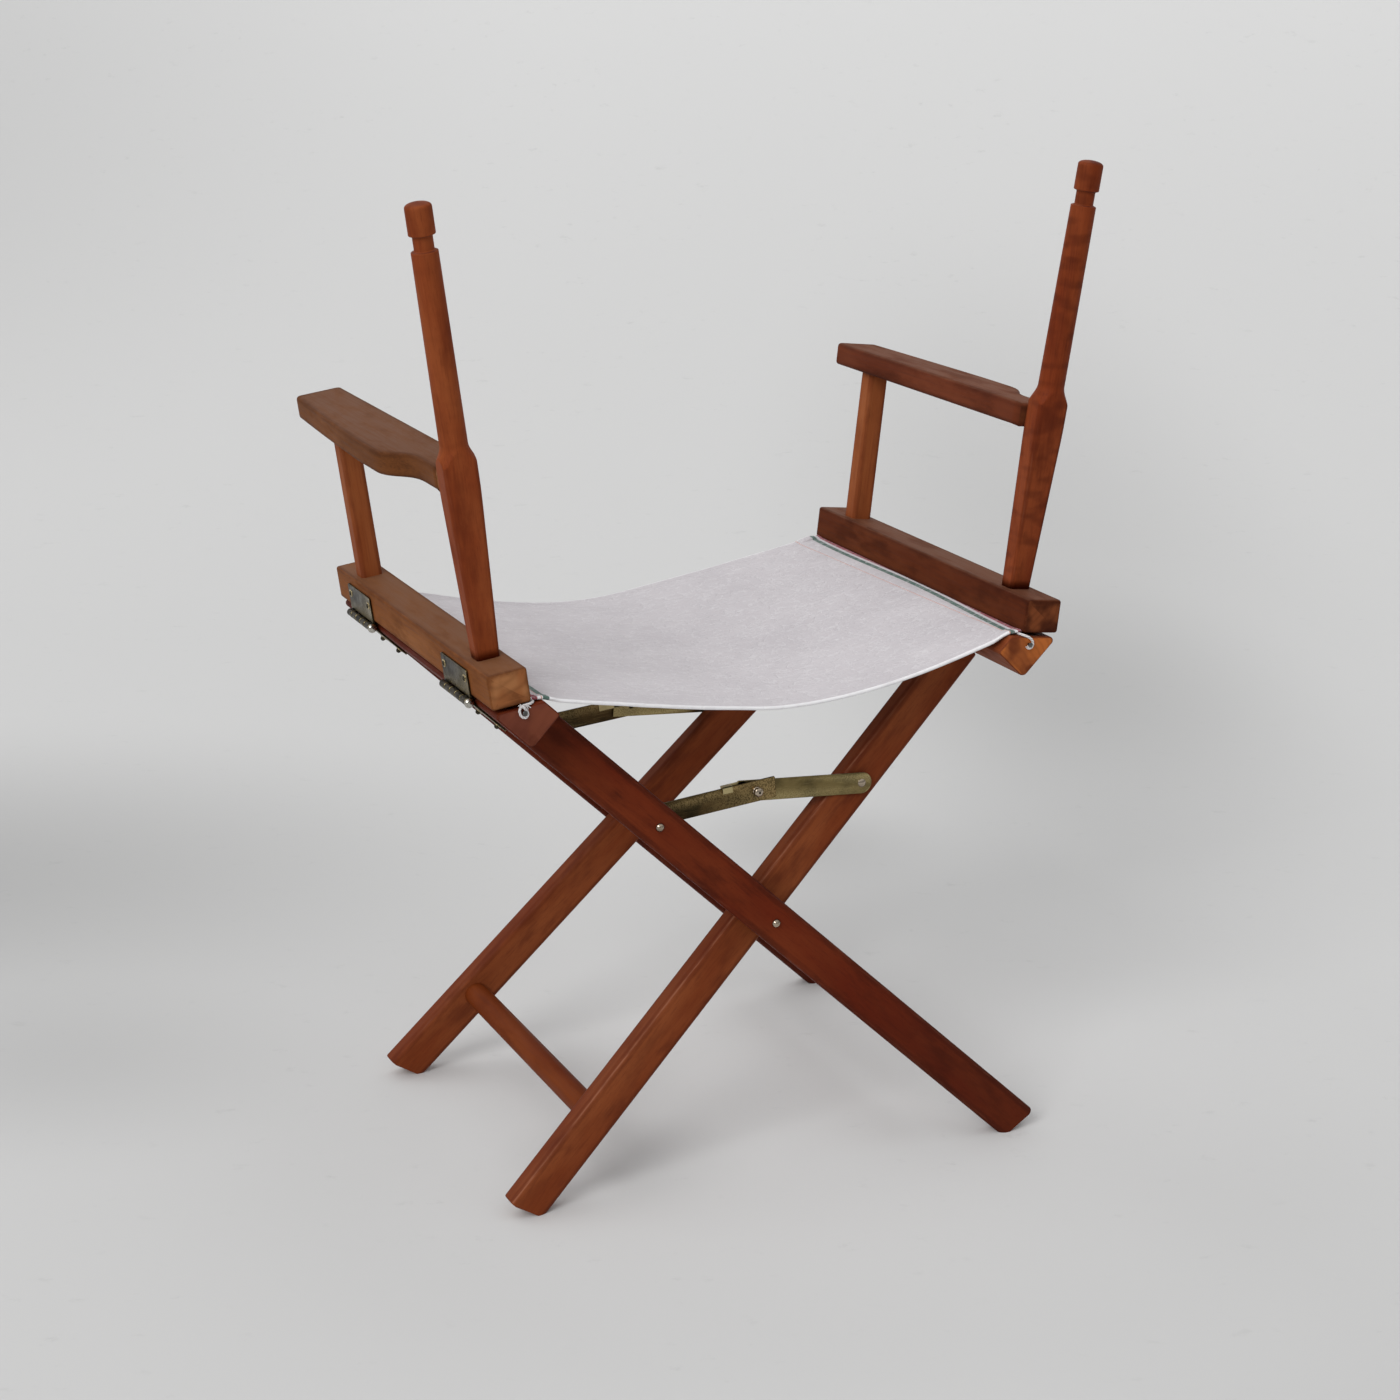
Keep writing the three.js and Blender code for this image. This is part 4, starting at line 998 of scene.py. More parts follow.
class Finishes(Enum):
    """The finishes of the chair. A steel's three colours are its plate, its stain and its bright spots."""

    OUTER_WOOD = WoodFinish(
        "outer frame wood", heart=(0.122, 0.0155, 0.0050), pale=(0.160, 0.029, 0.0090),
        dark=(0.048, 0.0085, 0.0042),
        end=(0.165, 0.046, 0.027), end_pale=(0.195, 0.056, 0.030), shade_share=0.6, end_rings=0.06,
        foot_shade=0.45, head_shade=0.6)
    INNER_WOOD = WoodFinish(
        "inner frame wood", heart=(0.190, 0.040, 0.0115), pale=(0.255, 0.068, 0.022),
        dark=(0.088, 0.017, 0.0075),
        end=(0.33, 0.093, 0.026), end_pale=(0.47, 0.135, 0.032), shade_share=0.6)
    LEFT_ARM_WOOD = WoodFinish(
        "left arm wood", "worn_wood", heart=(0.205, 0.068, 0.0185), pale=(0.265, 0.100, 0.033),
        dark=(0.070, 0.021, 0.008), end=(0.30, 0.108, 0.038), end_pale=(0.37, 0.155, 0.060),
        faded=(0.172, 0.080, 0.043), fading=0.85, streaks=0.42, end_rings=0.22, ring_pitch=11.0, shine=0.04,
        gloss=0.55)
    LEFT_REST_WOOD = replace(
        LEFT_ARM_WOOD, name="left armrest wood", heart=(0.139, 0.0475, 0.0145), pale=(0.193, 0.070, 0.024),
        dark=(0.060, 0.021, 0.009), faded=(0.142, 0.066, 0.038), shade_share=0.62, streaks=0.5)
    RIGHT_REST_WOOD = WoodFinish(
        "right armrest wood", "worn_wood", heart=(0.107, 0.0225, 0.0087), pale=(0.154, 0.038, 0.0155),
        dark=(0.050, 0.0115, 0.005), end=(0.07, 0.017, 0.007), end_pale=(0.10, 0.028, 0.010),
        faded=(0.165, 0.068, 0.036), fading=0.7, shade_share=0.6, shine=0.04, gloss=0.55)
    RIGHT_RAIL_WOOD = replace(
        RIGHT_REST_WOOD, name="right arm rail wood", heart=(0.090, 0.0185, 0.0056),
        pale=(0.130, 0.033, 0.0105),
        dark=(0.034, 0.0075, 0.0035), end=(0.075, 0.019, 0.0075), end_pale=(0.185, 0.052, 0.018),
        faded=(0.165, 0.072, 0.042), fading=0.85)
    LEFT_POST_WOOD = WoodFinish("left post wood", heart=(0.220, 0.043, 0.0120), pale=(0.285, 0.073, 0.022),
                                dark=(0.110, 0.019, 0.0065), ripple=0.12)
    RIGHT_POST_WOOD = WoodFinish("right post wood", heart=(0.175, 0.030, 0.0085), pale=(0.240, 0.052, 0.0155),
                                 dark=(0.070, 0.0115, 0.0045), ripple=0.5)
    STRETCHER_WOOD = WoodFinish("stretcher wood", heart=(0.125, 0.0215, 0.0040), pale=(0.168, 0.037, 0.0076),
                                dark=(0.085, 0.016, 0.0045))
    FRONT_POST_WOOD = WoodFinish("front post wood", heart=(0.245, 0.060, 0.0165), pale=(0.31, 0.094, 0.030),
                                 dark=(0.125, 0.026, 0.009))
    # The hinge steel's third colour on the knuckle rims and leaf edges is partly a painted highlight.
    HINGE_STEEL = SteelFinish("dull hinge steel", "hinge_steel", "steel", (0.042, 0.033, 0.0185),
                              (0.015, 0.012, 0.0075), (0.36, 0.29, 0.15), dullness=0.34,
                              brushed=(3.0, 0.10, 3.0))
    SCREW = SteelFinish("brass-ringed screw", "hinge_steel", "steel", (0.05, 0.045, 0.03),
                        (0.025, 0.022, 0.016),
                        (0.85, 0.68, 0.36), dullness=0.30)
    LEFT_LINK_STEEL = SteelFinish("tarnished link steel", "brace_steel", "steel", (0.074, 0.046, 0.019),
                                  (0.032, 0.023, 0.011), (0.42, 0.30, 0.13), dullness=0.40)
    RIGHT_LINK_STEEL = SteelFinish("yellowed link steel", "brace_steel", "steel", (0.205, 0.152, 0.062),
                                   (0.115, 0.088, 0.038), (0.52, 0.42, 0.20), stain_share=0.45, dullness=0.38)
    LUG_BRASS = SteelFinish("rubbed lug brass", "brace_steel", "steel", (0.52, 0.43, 0.22),
                            (0.16, 0.12, 0.05),
                            (0.75, 0.66, 0.42), stain_share=0.2, dullness=0.34)
    NAIL_STEEL = SteelFinish("grey nail steel", "nickel", "metal", (0.17, 0.17, 0.165), (0.08, 0.08, 0.075),
                             (0.30, 0.30, 0.29), dullness=0.34)
    NICKEL = SteelFinish("dulled nickel", "nickel", "metal", (0.46, 0.38, 0.29), (0.19, 0.145, 0.105),
                         (0.020, 0.014, 0.010), stain_share=0.3, dullness=0.10)
    PIN_NICKEL = SteelFinish("pin nickel", "nickel", "metal", (0.50, 0.48, 0.43), (0.22, 0.20, 0.17),
                             (0.10, 0.09, 0.07), stain_share=0.3, dullness=0.20)
    CANVAS = CanvasFinish("striped canvas", "canvas", "cloth")
    CORD = CordFinish("cotton cord", "cord", "cotton")
    BACKDROP = BackdropFinish("studio paint", "", "paint")


# ---------------------------------------------------------------- making pieces


def make_mesh(name: str, shell: Shell, place: Matrix, grain: Along = Along.Z,
              numbers: dict[str, Array] | None = None, outward: bool = True) -> bpy.types.Mesh:
    """Makes a smooth mesh whose flats stay flat, in the chair's frame and in metres.

    Args:
        name: The mesh's name.
        shell: The skin, in millimetres.
        place: The frame that the skin is drawn in.
        grain: The axis that the material's grain runs along.
        numbers: More numbers to keep at each point, by name.
        outward: Whether to turn the faces outward.

    Returns:
        The mesh, which keeps each point's place in the material, its wear and the way it faces.
    """
    mesh = bpy.data.meshes.new(name)
    turn, shift = np.array(place.to_3x3()), np.array(place.translation)
    mesh.from_pydata((shell.points * MILLIMETRE @ turn.T + shift).tolist(), [], shell.faces)
    if outward:
        draft = bmesh.new()
        draft.from_mesh(mesh)
        bmesh.ops.recalc_face_normals(draft, faces=draft.faces)
        draft.to_mesh(mesh)
        draft.free()
    own = grain.grain_frame()
    normals = weighted_normals(mesh)
    # How far each point faces up: where the wood finish paints the sky's sheen.
    kept = {"wear": shell.wear, "faded": np.clip(normals[:, 2], 0, 1),
            "ends": np.abs(normals @ (turn @ own[:, 2]))}
    for key, values in (kept | (numbers or {})).items():
        mesh.attributes.new(key, "FLOAT", "POINT").data.foreach_set("value", values.astype(np.float32))
    inside = mesh.attributes.new("place", "FLOAT_VECTOR", "POINT")
    inside.data.foreach_set("vector", (shell.points @ own).astype(np.float32).ravel())
    mesh.shade_smooth()
    mesh.normals_split_custom_set_from_vertices(normals.tolist())
    return mesh


def weighted_normals(mesh: bpy.types.Mesh) -> Array:
    """Each point's normal, led by the widest faces round it.

    Args:
        mesh: The mesh.

    Returns:
        One normal for each point.
    """
    count = len(mesh.polygons)
    normals, areas, sizes = np.empty(count * 3), np.empty(count), np.empty(count, int)
    corners = np.empty(len(mesh.loops), int)
    for key, values in (("normal", normals), ("area", areas), ("loop_total", sizes)):
        mesh.polygons.foreach_get(key, values)
    mesh.loops.foreach_get("vertex_index", corners)
    total = np.zeros((len(mesh.vertices), 3))
    np.add.at(total, corners, np.repeat(normals.reshape(-1, 3) * areas[:, None], sizes, axis=0))
    return total / np.maximum(np.linalg.norm(total, axis=1), 1e-12)[:, None]


def put(name: str, data: bpy.types.ID) -> bpy.types.Object:
    """Puts a mesh, a lamp or a camera into the scene."""
    thing = bpy.data.objects.new(name, data)
    bpy.context.scene.collection.objects.link(thing)
    return thing


def make_piece(node: str, shell: Shell, place: Matrix, body: str, finish: Finishes, grain: Along = Along.Z,
               numbers: dict[str, Array] | None = None, fittings: Shell | None = None,
               fittings_finish: Finishes = Finishes.SCREW) -> None:
    """Makes one finished piece that stands for a solid part and rides on its body.

    Args:
        node: The solid part that it stands for.
        shell: The skin, in the frame given by place.
        place: The frame that the skin is drawn in.
        body: The body that carries the piece.
        finish: What it is made of.
        grain: The axis that its grain runs along.
        numbers: More numbers to keep at each point.
        fittings: The skin of small things fixed in the piece, such as screws.
        fittings_finish: What the fittings are made of.
    """
    name = f"{node}.{finish.value.stock}"
    whole = shell.joined(fittings) if fittings else shell
    mesh = make_mesh(name, whole, place, grain, numbers)
    mesh.materials.append(finish.value.material())
    if fittings:
        mesh.materials.append(fittings_finish.value.material())
        chosen = np.arange(len(whole.faces)) >= len(shell.faces)
        mesh.polygons.foreach_set("material_index", chosen.astype(np.int32))
    piece = put(name, mesh)
    piece["grain_seed"] = zlib.crc32(node.encode()) / 2**32
    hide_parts(node)
    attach(piece, body)
    LOG.info("%s rides on %s: %d faces", name, body, len(whole.faces))


def headed(shank: float, head: float, base: float, top: float, start: float) -> Shell:
    """A round-headed bolt or rivet along Y, darker round the foot of its head.

    Args:
        shank: The shank's radius.
        head: The head's radius.
        base: Where the head starts.
        top: Where a flatter head would end.
        start: Where the shank starts.

    Returns:
        Its skin.
    """
    rise = 1.25 * (top - base)
    bulge = (head**2 + rise**2) / (2 * rise)
    dome = [(share * head, base + rise - bulge + math.sqrt(bulge**2 - (share * head) ** 2), 0.1)
            for share in (1.0, 0.94, 0.86, 0.76, 0.62, 0.45, 0.25)]
    made = turned([(shank, start, 0.3), (shank, base, 0.1), *dome, (0.0, base + rise, 0)])
    made.wear[:] = smooth_step(np.hypot(made.points[:, 0], made.points[:, 2]), 0.90 * head, 1.0 * head)
    return made


def slotted_head(radius: float, height: float) -> Shell:
    """An oval screw head with a driving slot, in a countersunk ring, along X from the origin.

    Args:
        radius: The ring's radius.
        height: How far the head stands up.

    Returns:
        Its skin. The ring is rubbed bright.
    """
    ring = turned([(radius, -0.6, 0.1), (radius, 0.3, 0.2), (0.62 * radius, 0.55, 0.1), (0.0, 0.1, 0)], 36,
                  Along.X)
    ring.wear[:] = 1.0
    dome = [(0.66 * radius * math.cos(a), height * (0.3 + 0.7 * math.sin(a)), 0.05)
            for a in np.linspace(0.2, 1.5, 8)]
    head = turned([(0.66 * radius, -0.5, 0.1), *dome, (0.0, height, 0)], 36, Along.X)
    head.wear[:] = 0.0
    points = head.points
    near = smooth_step(np.abs(points[:, 2] + 0.35 * points[:, 1]), 0.6, 0.3)
    points[:, 0] -= 0.55 * near * (points[:, 0] > 0.3 * height)
    return ring.joined(head)


# ---------------------------------------------------------------- the crossed frames


@dataclass(frozen=True)
class CrossedFrame:
    """The two legs, seat rail and stretcher that lean to one side, with what is fixed to them."""

    side: Side
    sizes: ChairSizes = ChairSizes()
    leg_arris: float = 5.0
    soil_width: float = 1.5
    end_edge: float = 1.6
    rail_top_radius: float = 3.5
    rail_outer_radius: float = 5.0
    rail_inner_radius: float = 2.0
    groove_lip: float = 0.6
    groove_stop: float = 184.0
    rail_pitch: float = 6.0
    stretcher_drop: float = 219.8
    stretcher_radius: float = 11.0
    crease_width: float = 0.35

    @property
    def word(self) -> str:
        """The frame's name in node names."""
        return "outer" if self.side is Side.LEFT else "inner"

    @property
    def body(self) -> str:
        """The body that carries the frame."""
        return f"{self.word}_frame"

    def leg(self) -> Shell:
        """A squared leg, cut level at the floor.

        Returns:
            The rear leg's skin.
        """
        sizes, lean = self.sizes, self.sizes.leg_lean
        front, rear = sizes.leg_faces(self.side)
        half, deep = sizes.leg_width / 2, (rear - front) / 2
        section = Section.oblong((-half, half), (-deep, deep), (self.leg_arris,) * 2, 6, self.soil_width)
        post = bar(section, -sizes.leg_drop, sizes.rail_bottom, self.end_edge)
        x, y, z = post.points.T
        z[:] = np.maximum(z, (x * math.sin(lean) - sizes.pivot_height) / math.cos(lean))
        y += (front + rear) / 2 - sizes.splay_slope * z
        return post

    def crease(self, shell: Shell) -> tuple[Array, Array]:
        """Marks the leg's rear inner arris with a pale line, a painted highlight that is partly rubbed wear,
        and the narrow face beside it, which is painted darker as shade.

        Args:
            shell: The rear leg's skin.

        Returns:
            How strong the pale line is at each point, and whether the point lies on the narrow face.
        """
        sizes = self.sizes
        x, y, z = shell.points.T
        level = y - sum(sizes.leg_faces(self.side)) / 2 + sizes.splay_slope * z
        corner = np.hypot(x + sizes.leg_width / 2, level - sizes.leg_thickness / 2)
        nearest = self.leg_arris * (math.sqrt(2) - 1)
        middle = 0.3 * self.leg_arris - sizes.leg_width / 2
        return (smooth_step(corner, nearest + self.crease_width, nearest + 0.1),
                smooth_step(x, middle + 0.5, middle - 0.9))

    def stretcher(self) -> Shell:
        """The round stretcher between the two legs."""
        reach = self.sizes.leg_faces(self.side)[0] + self.sizes.splay_slope * self.stretcher_drop + 3.0
        radius = self.stretcher_radius
        return turned([(radius, -reach, 0.5), (radius, reach, 0.5)], 40).moved(z=-self.stretcher_drop)

    def seat_rail(self) -> Shell:
        """The rail on top of the legs, with the groove that the seat's hem lies in.

        Returns:
            Its skin.
        """
        sizes = self.sizes
        half, top, tilt, middle = sizes.leg_width / 2, sizes.rail_top, sizes.top_tilt, sizes.groove_out
        reach = sizes.hem_radius + sizes.canvas_lift
        floor = sizes.hem_rise - reach
        groove = ((middle + reach, 0.0, self.groove_lip), (middle + reach, floor, 0.94 * reach),
                  (middle - reach, floor, 0.94 * reach), (middle - reach, 0.0, self.groove_lip))
        section = Section.rounded([
            (-half, sizes.rail_bottom, self.rail_inner_radius),
            (half, sizes.rail_bottom, self.rail_outer_radius),
            (half, top + sizes.leg_width * math.tan(tilt), self.rail_top_radius),
            *((*sizes.over_rail(out, above), radius) for out, above, radius in groove),
            (-half, top, self.rail_inner_radius / 2)])
        rail_half = sizes.rail_length / 2
        rail = bar(section, -rail_half, rail_half, self.end_edge, Along.Y, self.rail_pitch)
        slope = np.array((-math.sin(tilt), math.cos(tilt)))
        points, along = rail.points, np.abs(rail.points[:, 1])
        flat = points[:, (0, 2)] - (-half, top)
        above = flat @ slope
        out = flat @ np.array((math.cos(tilt), math.sin(tilt)))
        rounding = np.clip((along - rail_half) / self.end_edge + 1, 0, 1)
        level = -self.end_edge * (1 - np.sqrt(1 - rounding**2))
        inside = (np.abs(out - middle) < reach + 2) & (above > -3 * reach) & (along > self.groove_stop)
        points[:, (0, 2)] += np.where(inside, level - above, 0.0)[:, None] * slope
        return rail

    def build(self) -> None:
        """Makes the frame's timber."""
        place, leg = self.sizes.leg_frame(self.side), self.leg()
        # Only the inner frame's legs get the painted pale arris line and the painted shade on the narrow
        # face.
        rubbed = 1.0 if self.side is Side.RIGHT else 0.0
        crease, narrow = (rubbed * share for share in self.crease(leg))
        wood = Finishes.OUTER_WOOD if self.side is Side.LEFT else Finishes.INNER_WOOD
        for end in End:
            make_piece(f"{end.word}_{self.word}_leg", leg.handed(self.side, end), place, self.body, wood,
                       numbers={"rub": crease, "narrow_face": narrow})
        for node, shell, finish in ((f"{self.word}_stretcher", self.stretcher(), Finishes.STRETCHER_WOOD),
                                    (f"{self.side.word}_seat_rail", self.seat_rail(), wood)):
            make_piece(node, shell.handed(self.side), place, self.body, finish, Along.Y)


@dataclass(frozen=True)
class HemCord:
    """The cord in one side hem, looped over a nail in each end of the seat rail."""

    side: Side
    sizes: ChairSizes = ChairSizes()
    nail_radius: float = 1.0
    nail_head_radius: float = 2.0
    nail_head_thickness: float = 1.0
    pitch: float = 0.9
    groove_end: float = 148.0
    left_nail_lift: float = 2.6
    right_nail_shift: float = -2.4
    loop: tuple[Triple, ...] = (
        (10.5, 1.3, 180.0), (8.5, 1.5, 187.5), (11.5, 1.7, 191.3), (15.5, 1.8, 192.3), (19.6, 1.6, 193.0),
        (22.2, -0.4, 194.3), (22.4, -3.0, 194.4), (21.3, -5.9, 194.4), (18.8, -7.5, 194.5),
        (16.7, -6.5, 194.4),
        (16.2, -4.0, 194.4), (17.5, -1.1, 195.0), (19.4, 1.8, 195.6), (21.6, 2.8, 195.2))
    hook: tuple[Triple, ...] = (
        (10.0, 1.3, 178.0), (9.4, 1.5, 188.0), (11.2, 1.4, 192.8), (14.4, 0.4, 194.6), (17.6, -1.8, 194.8),
        (19.4, -5.0, 194.5), (19.0, -8.0, 194.4), (16.4, -9.4, 194.3), (14.6, -8.6, 194.3))

    def nail(self) -> Shell:
        """The nail that the cord hooks over, with a slightly domed head.

        Returns:
            Its skin.
        """
        sizes, head, shank = self.sizes, self.nail_head_radius, self.nail_radius
        x, z = sizes.nail_point()
        sine, cosine = math.sin(sizes.top_tilt), math.cos(sizes.top_tilt)
        out, above = (0.0, self.left_nail_lift) if self.side is Side.LEFT else (self.right_nail_shift, 0.0)
        x, z = x + out * cosine - above * sine, z + out * sine + above * cosine
        start = sizes.rail_length / 2 - 3.0
        base = sizes.rail_length / 2 + 2 * sizes.fit_gap + 2 * sizes.cord_radius
        top = base + self.nail_head_thickness
        return turned([(shank, start, 0.2), (shank, base, 0.1), (head, base, 0.2), (head, top - 0.35, 0.25),
                       (0.7 * head, top - 0.08, 0.5), (0.0, top, 0)], 28).moved(x=x, z=z)

    def end_route(self) -> list[Triple]:
        """The cord's rear end: inward under the arm rail, out at the seat's corner and round the nail."""
        route = self.loop if self.side is Side.LEFT else self.hook
        return [(x, y, z) for out, above, y in route for x, z in [self.sizes.over_rail(out, above)]]

    def frayed(self) -> list[Shell]:
        """Loose strands at the cord's cut rear end and at the seat's corner.

        Returns:
            Their skins.
        """
        route = [np.array(point) for point in self.end_route()]
        tufts = [(route[-1], way) for way in ((-1.4, 0.5, 1.4), (0.6, 0.9, 2.0), (-1.8, 0.3, -0.6))]
        if self.side is Side.LEFT:
            tufts += [(route[3], way) for way in ((-0.4, 0.8, -4.2), (1.9, 0.6, -3.4), (3.4, 0.5, -1.6))]
        return [rope(smooth_path([root, root + 0.5 * np.array(way) + (0, 0.4, 0.2), root + np.array(way)],
                                 0.4),
                     0.45, 8, 2, 3.0) for root, way in tufts]

    def cord(self) -> Shell:
        """The whole cord with its frayed ends.

        Returns:
            Its skin.
        """
        hem_x, hem_z = self.sizes.hem_centre()
        rear = [(hem_x, self.groove_end, hem_z), *self.end_route()]
        front = [(x, -y, z) for x, y, z in reversed(rear)]
        line = rope(smooth_path([*front, *rear], self.pitch), 0.82 * self.sizes.cord_radius)
        tufts = self.frayed()
        return line.joined(*tufts, *(tuft.handed(end=End.FRONT) for tuft in tufts))

    def build(self) -> None:
        """Makes the cord and its two nails."""
        place, body, word = self.sizes.leg_frame(self.side), CrossedFrame(self.side).body, self.side.word
        make_piece(f"{word}_hem_cord", self.cord().handed(self.side), place, body, Finishes.CORD, Along.Y)
        for end in End:
            make_piece(f"{word}_{end.word}_cord_nail", self.nail().handed(self.side, end), place, body,
                       Finishes.NAIL_STEEL, Along.Y)


@dataclass(frozen=True)
class Pivots:
    """The bolts that the frames turn on, and the bolts and spacers that carry the braces."""

    sizes: ChairSizes = ChairSizes()
    bolt_radius: float = 2.5
    head_radius: float = 3.9
    head_height: float = 2.4
    spacer_radius: float = 6.0
    waist: float = 0.8
    washer: float = 1.4
    nut_radius: float = 5.0
    nut_thickness: float = 4.0
    overrun: float = 1.5
    brace_spacer_radius: float = 5.0
    rivet_height: float = 1.2

    @property
    def nut_rear(self) -> float:
        """The nut's rear face, seated in the inner leg."""
        return self.sizes.leg_faces(Side.RIGHT)[0] + self.sizes.seat_depth - self.sizes.fit_gap

    def pivot_bolt(self) -> Shell:
        """The pivot bolt, with its thread showing past the nut.

        Returns:
            Its skin.
        """
        tip = self.nut_rear - self.nut_thickness - self.overrun
        base = self.sizes.leg_faces(Side.LEFT)[1] - self.sizes.seat_depth + self.sizes.fit_gap
        bolt = headed(self.bolt_radius, self.head_radius, base, base + self.head_height, tip + 1.8)
        crest, root = self.bolt_radius, self.bolt_radius - 0.35
        thread = [(root, tip, 0.2)]
        for step in range(4):
            thread += [(crest, tip + 0.4 + 0.6 * step, 0.03), (root, tip + 0.7 + 0.6 * step, 0.03)]
        return bolt.joined(turned([*thread, (0.0, tip + 2.6, 0)]))

    def spacer(self, radius: float, start: float, end: float) -> Shell:
        """A spacer tube between two washers, from its washers' radius and its two ends."""
        low, high, neck = start + self.washer, end - self.washer, radius - self.waist
        return turned([(radius, start, 0.3), (radius, low, 0.25), (neck, low, 0.1), (neck, high, 0.1),
                       (radius, high, 0.25), (radius, end, 0.3)])

    def nut(self) -> Shell:
        """The hexagon nut on the inner leg."""
        corners = [(self.nut_radius * math.cos(a), self.nut_radius * math.sin(a), 0.3)
                   for a in (math.radians(60 * step) for step in range(6))]
        return bar(Section.rounded(corners, 3), self.nut_rear - self.nut_thickness, self.nut_rear + 0.2, 0.5,
                   Along.Y)

    def build(self) -> None:
        """Makes the fasteners of both ends."""
        sizes, shank, head = self.sizes, self.bolt_radius, self.head_radius
        outer_front, outer_rear = sizes.leg_faces(Side.LEFT)
        spacer = self.spacer(self.spacer_radius, sizes.leg_faces(Side.RIGHT)[1] - sizes.fit_gap,
                             outer_front + sizes.fit_gap)
        base = outer_rear + sizes.anchor_shift - sizes.seat_depth + sizes.fit_gap
        tail = sizes.left_link_front - sizes.fit_gap
        brace_bolt = headed(shank, head, base, base + self.head_height, tail)
        brace_tail = headed(shank, head, tail, tail - self.rivet_height, tail + 1.0)
        brace_spacer = self.spacer(self.brace_spacer_radius, sizes.left_link_front + sizes.link_thickness
                                   + 0.5 * sizes.fit_gap, outer_front + sizes.anchor_shift + 0.4)
        for end in End:
            for word, shell, finish in (
                    ("pivot_bolt", self.pivot_bolt(), Finishes.NICKEL),
                    ("pivot_spacer", spacer, Finishes.HINGE_STEEL),
                    ("pivot_nut", self.nut(), Finishes.NICKEL),
                    ("brace_bolt", brace_bolt.joined(brace_tail).moved(z=sizes.brace_anchor),
                     Finishes.NICKEL),
                    ("brace_spacer", brace_spacer.moved(z=sizes.brace_anchor), Finishes.HINGE_STEEL)):
                make_piece(f"{end.word}_{word}", shell.handed(end=end), sizes.leg_frame(Side.LEFT),
                           "outer_frame",
                           finish)


@dataclass(frozen=True)
class Brace:
    """One folding brace: two flat links on a rivet, with a lug that stops them."""

    end: End
    sizes: ChairSizes = ChairSizes()
    link_width: float = 18.5
    overrun: float = 17.5
    corner_radius: float = 1.2
    plate_edge: float = 0.28
    rivet_radius: float = 2.5
    rivet_head_radius: float = 3.9
    rivet_height: float = 1.3
    flange_radius: float = 5.0
    lug_start: float = 22.5
    lug_length: float = 9.0
    lug_lip: float = 4.8
    lug_web: float = 9.0

    def plate(self, front: float) -> Shell:
        """A link's plate from its front face, square at the knuckle and round at its anchor.

        Args:
            front: The front face.

        Returns:
            Its skin.
        """
        half = self.link_width / 2
        end, tip = self.sizes.link_length + half, 0.985 * half
        outline = Section.rounded([(-self.overrun, -half, self.corner_radius), (end, -half, tip),
                                   (end, half, tip),
                                   (-self.overrun, half, self.corner_radius)], 12)
        return bar(outline, front, front + self.sizes.link_thickness, self.plate_edge, Along.Y)

    def lug(self) -> Shell:
        """The bent lug on the right link that hooks over the left link's top edge.

        Returns:
            Its skin.
        """
        sizes, thick = self.sizes, self.sizes.link_thickness
        bottom = self.link_width / 2 + sizes.fit_gap
        top, front = bottom + thick, sizes.right_link_front
        lip_front = sizes.left_link_front + thick + sizes.fit_gap
        far, near = -self.lug_start - self.lug_length, -self.lug_start
        web, bridge, lip = (
            bar(Section.oblong(x, y, (0.3, 0.3), 3), low, top, 0.25) for x, y, low in (
                ((far, -self.overrun / 2), (front, front + thick), top - self.lug_web),
                ((far, near), (front, lip_front + thick), bottom),
                ((far, near), (lip_front, lip_front + thick), bottom - self.lug_lip)))
        return web.joined(bridge, lip).turned(Matrix.Rotation(-2 * sizes.knee_angle, 4, "Y"))

    def knuckle_rivet(self) -> Shell:
        """The rivet that joins the two links."""
        tail, base = self.sizes.right_link_front, self.sizes.left_link_front + self.sizes.link_thickness
        front, rear = (headed(self.rivet_radius, self.rivet_head_radius, foot, foot + rise, start)
                       for foot, rise, start in ((tail, -self.rivet_height, base),
                                                 (base, self.rivet_height, tail)))
        return front.joined(rear)

    def end_rivet(self) -> Shell:
        """The rivet that fixes the right link to the inner leg.

        Returns:
            Its skin.
        """
        sizes, rear = self.sizes, self.sizes.right_link_front
        base = rear + sizes.link_thickness
        front = sizes.leg_faces(Side.RIGHT)[1] + sizes.anchor_shift - 0.3
        flange = turned([(self.flange_radius, front, 0.2), (self.flange_radius, rear, 0.3)])
        head = headed(self.rivet_radius, self.rivet_head_radius, base, base + self.rivet_height, rear)
        return flange.joined(head).moved(x=sizes.link_length)

    def build(self) -> None:
        """Makes the brace."""
        sizes, word, right = self.sizes, self.end.word, Side.RIGHT
        lug = self.lug().handed(right, self.end)
        for side, part, shell, finish, fittings in (
                (Side.LEFT, "left_link", self.plate(sizes.left_link_front), Finishes.LEFT_LINK_STEEL, None),
                (Side.LEFT, "knuckle_rivet", self.knuckle_rivet(), Finishes.NICKEL, None),
                (right, "right_link", self.plate(sizes.right_link_front), Finishes.RIGHT_LINK_STEEL, lug),
                (right, "end_rivet", self.end_rivet(), Finishes.NICKEL, None)):
            make_piece(f"{word}_brace_{part}", shell.handed(side, self.end), sizes.link_frame(side),
                       f"{word}_{side.word}_link", finish, fittings=fittings,
                       fittings_finish=Finishes.LUG_BRASS)


# ---------------------------------------------------------------- hinges and arms


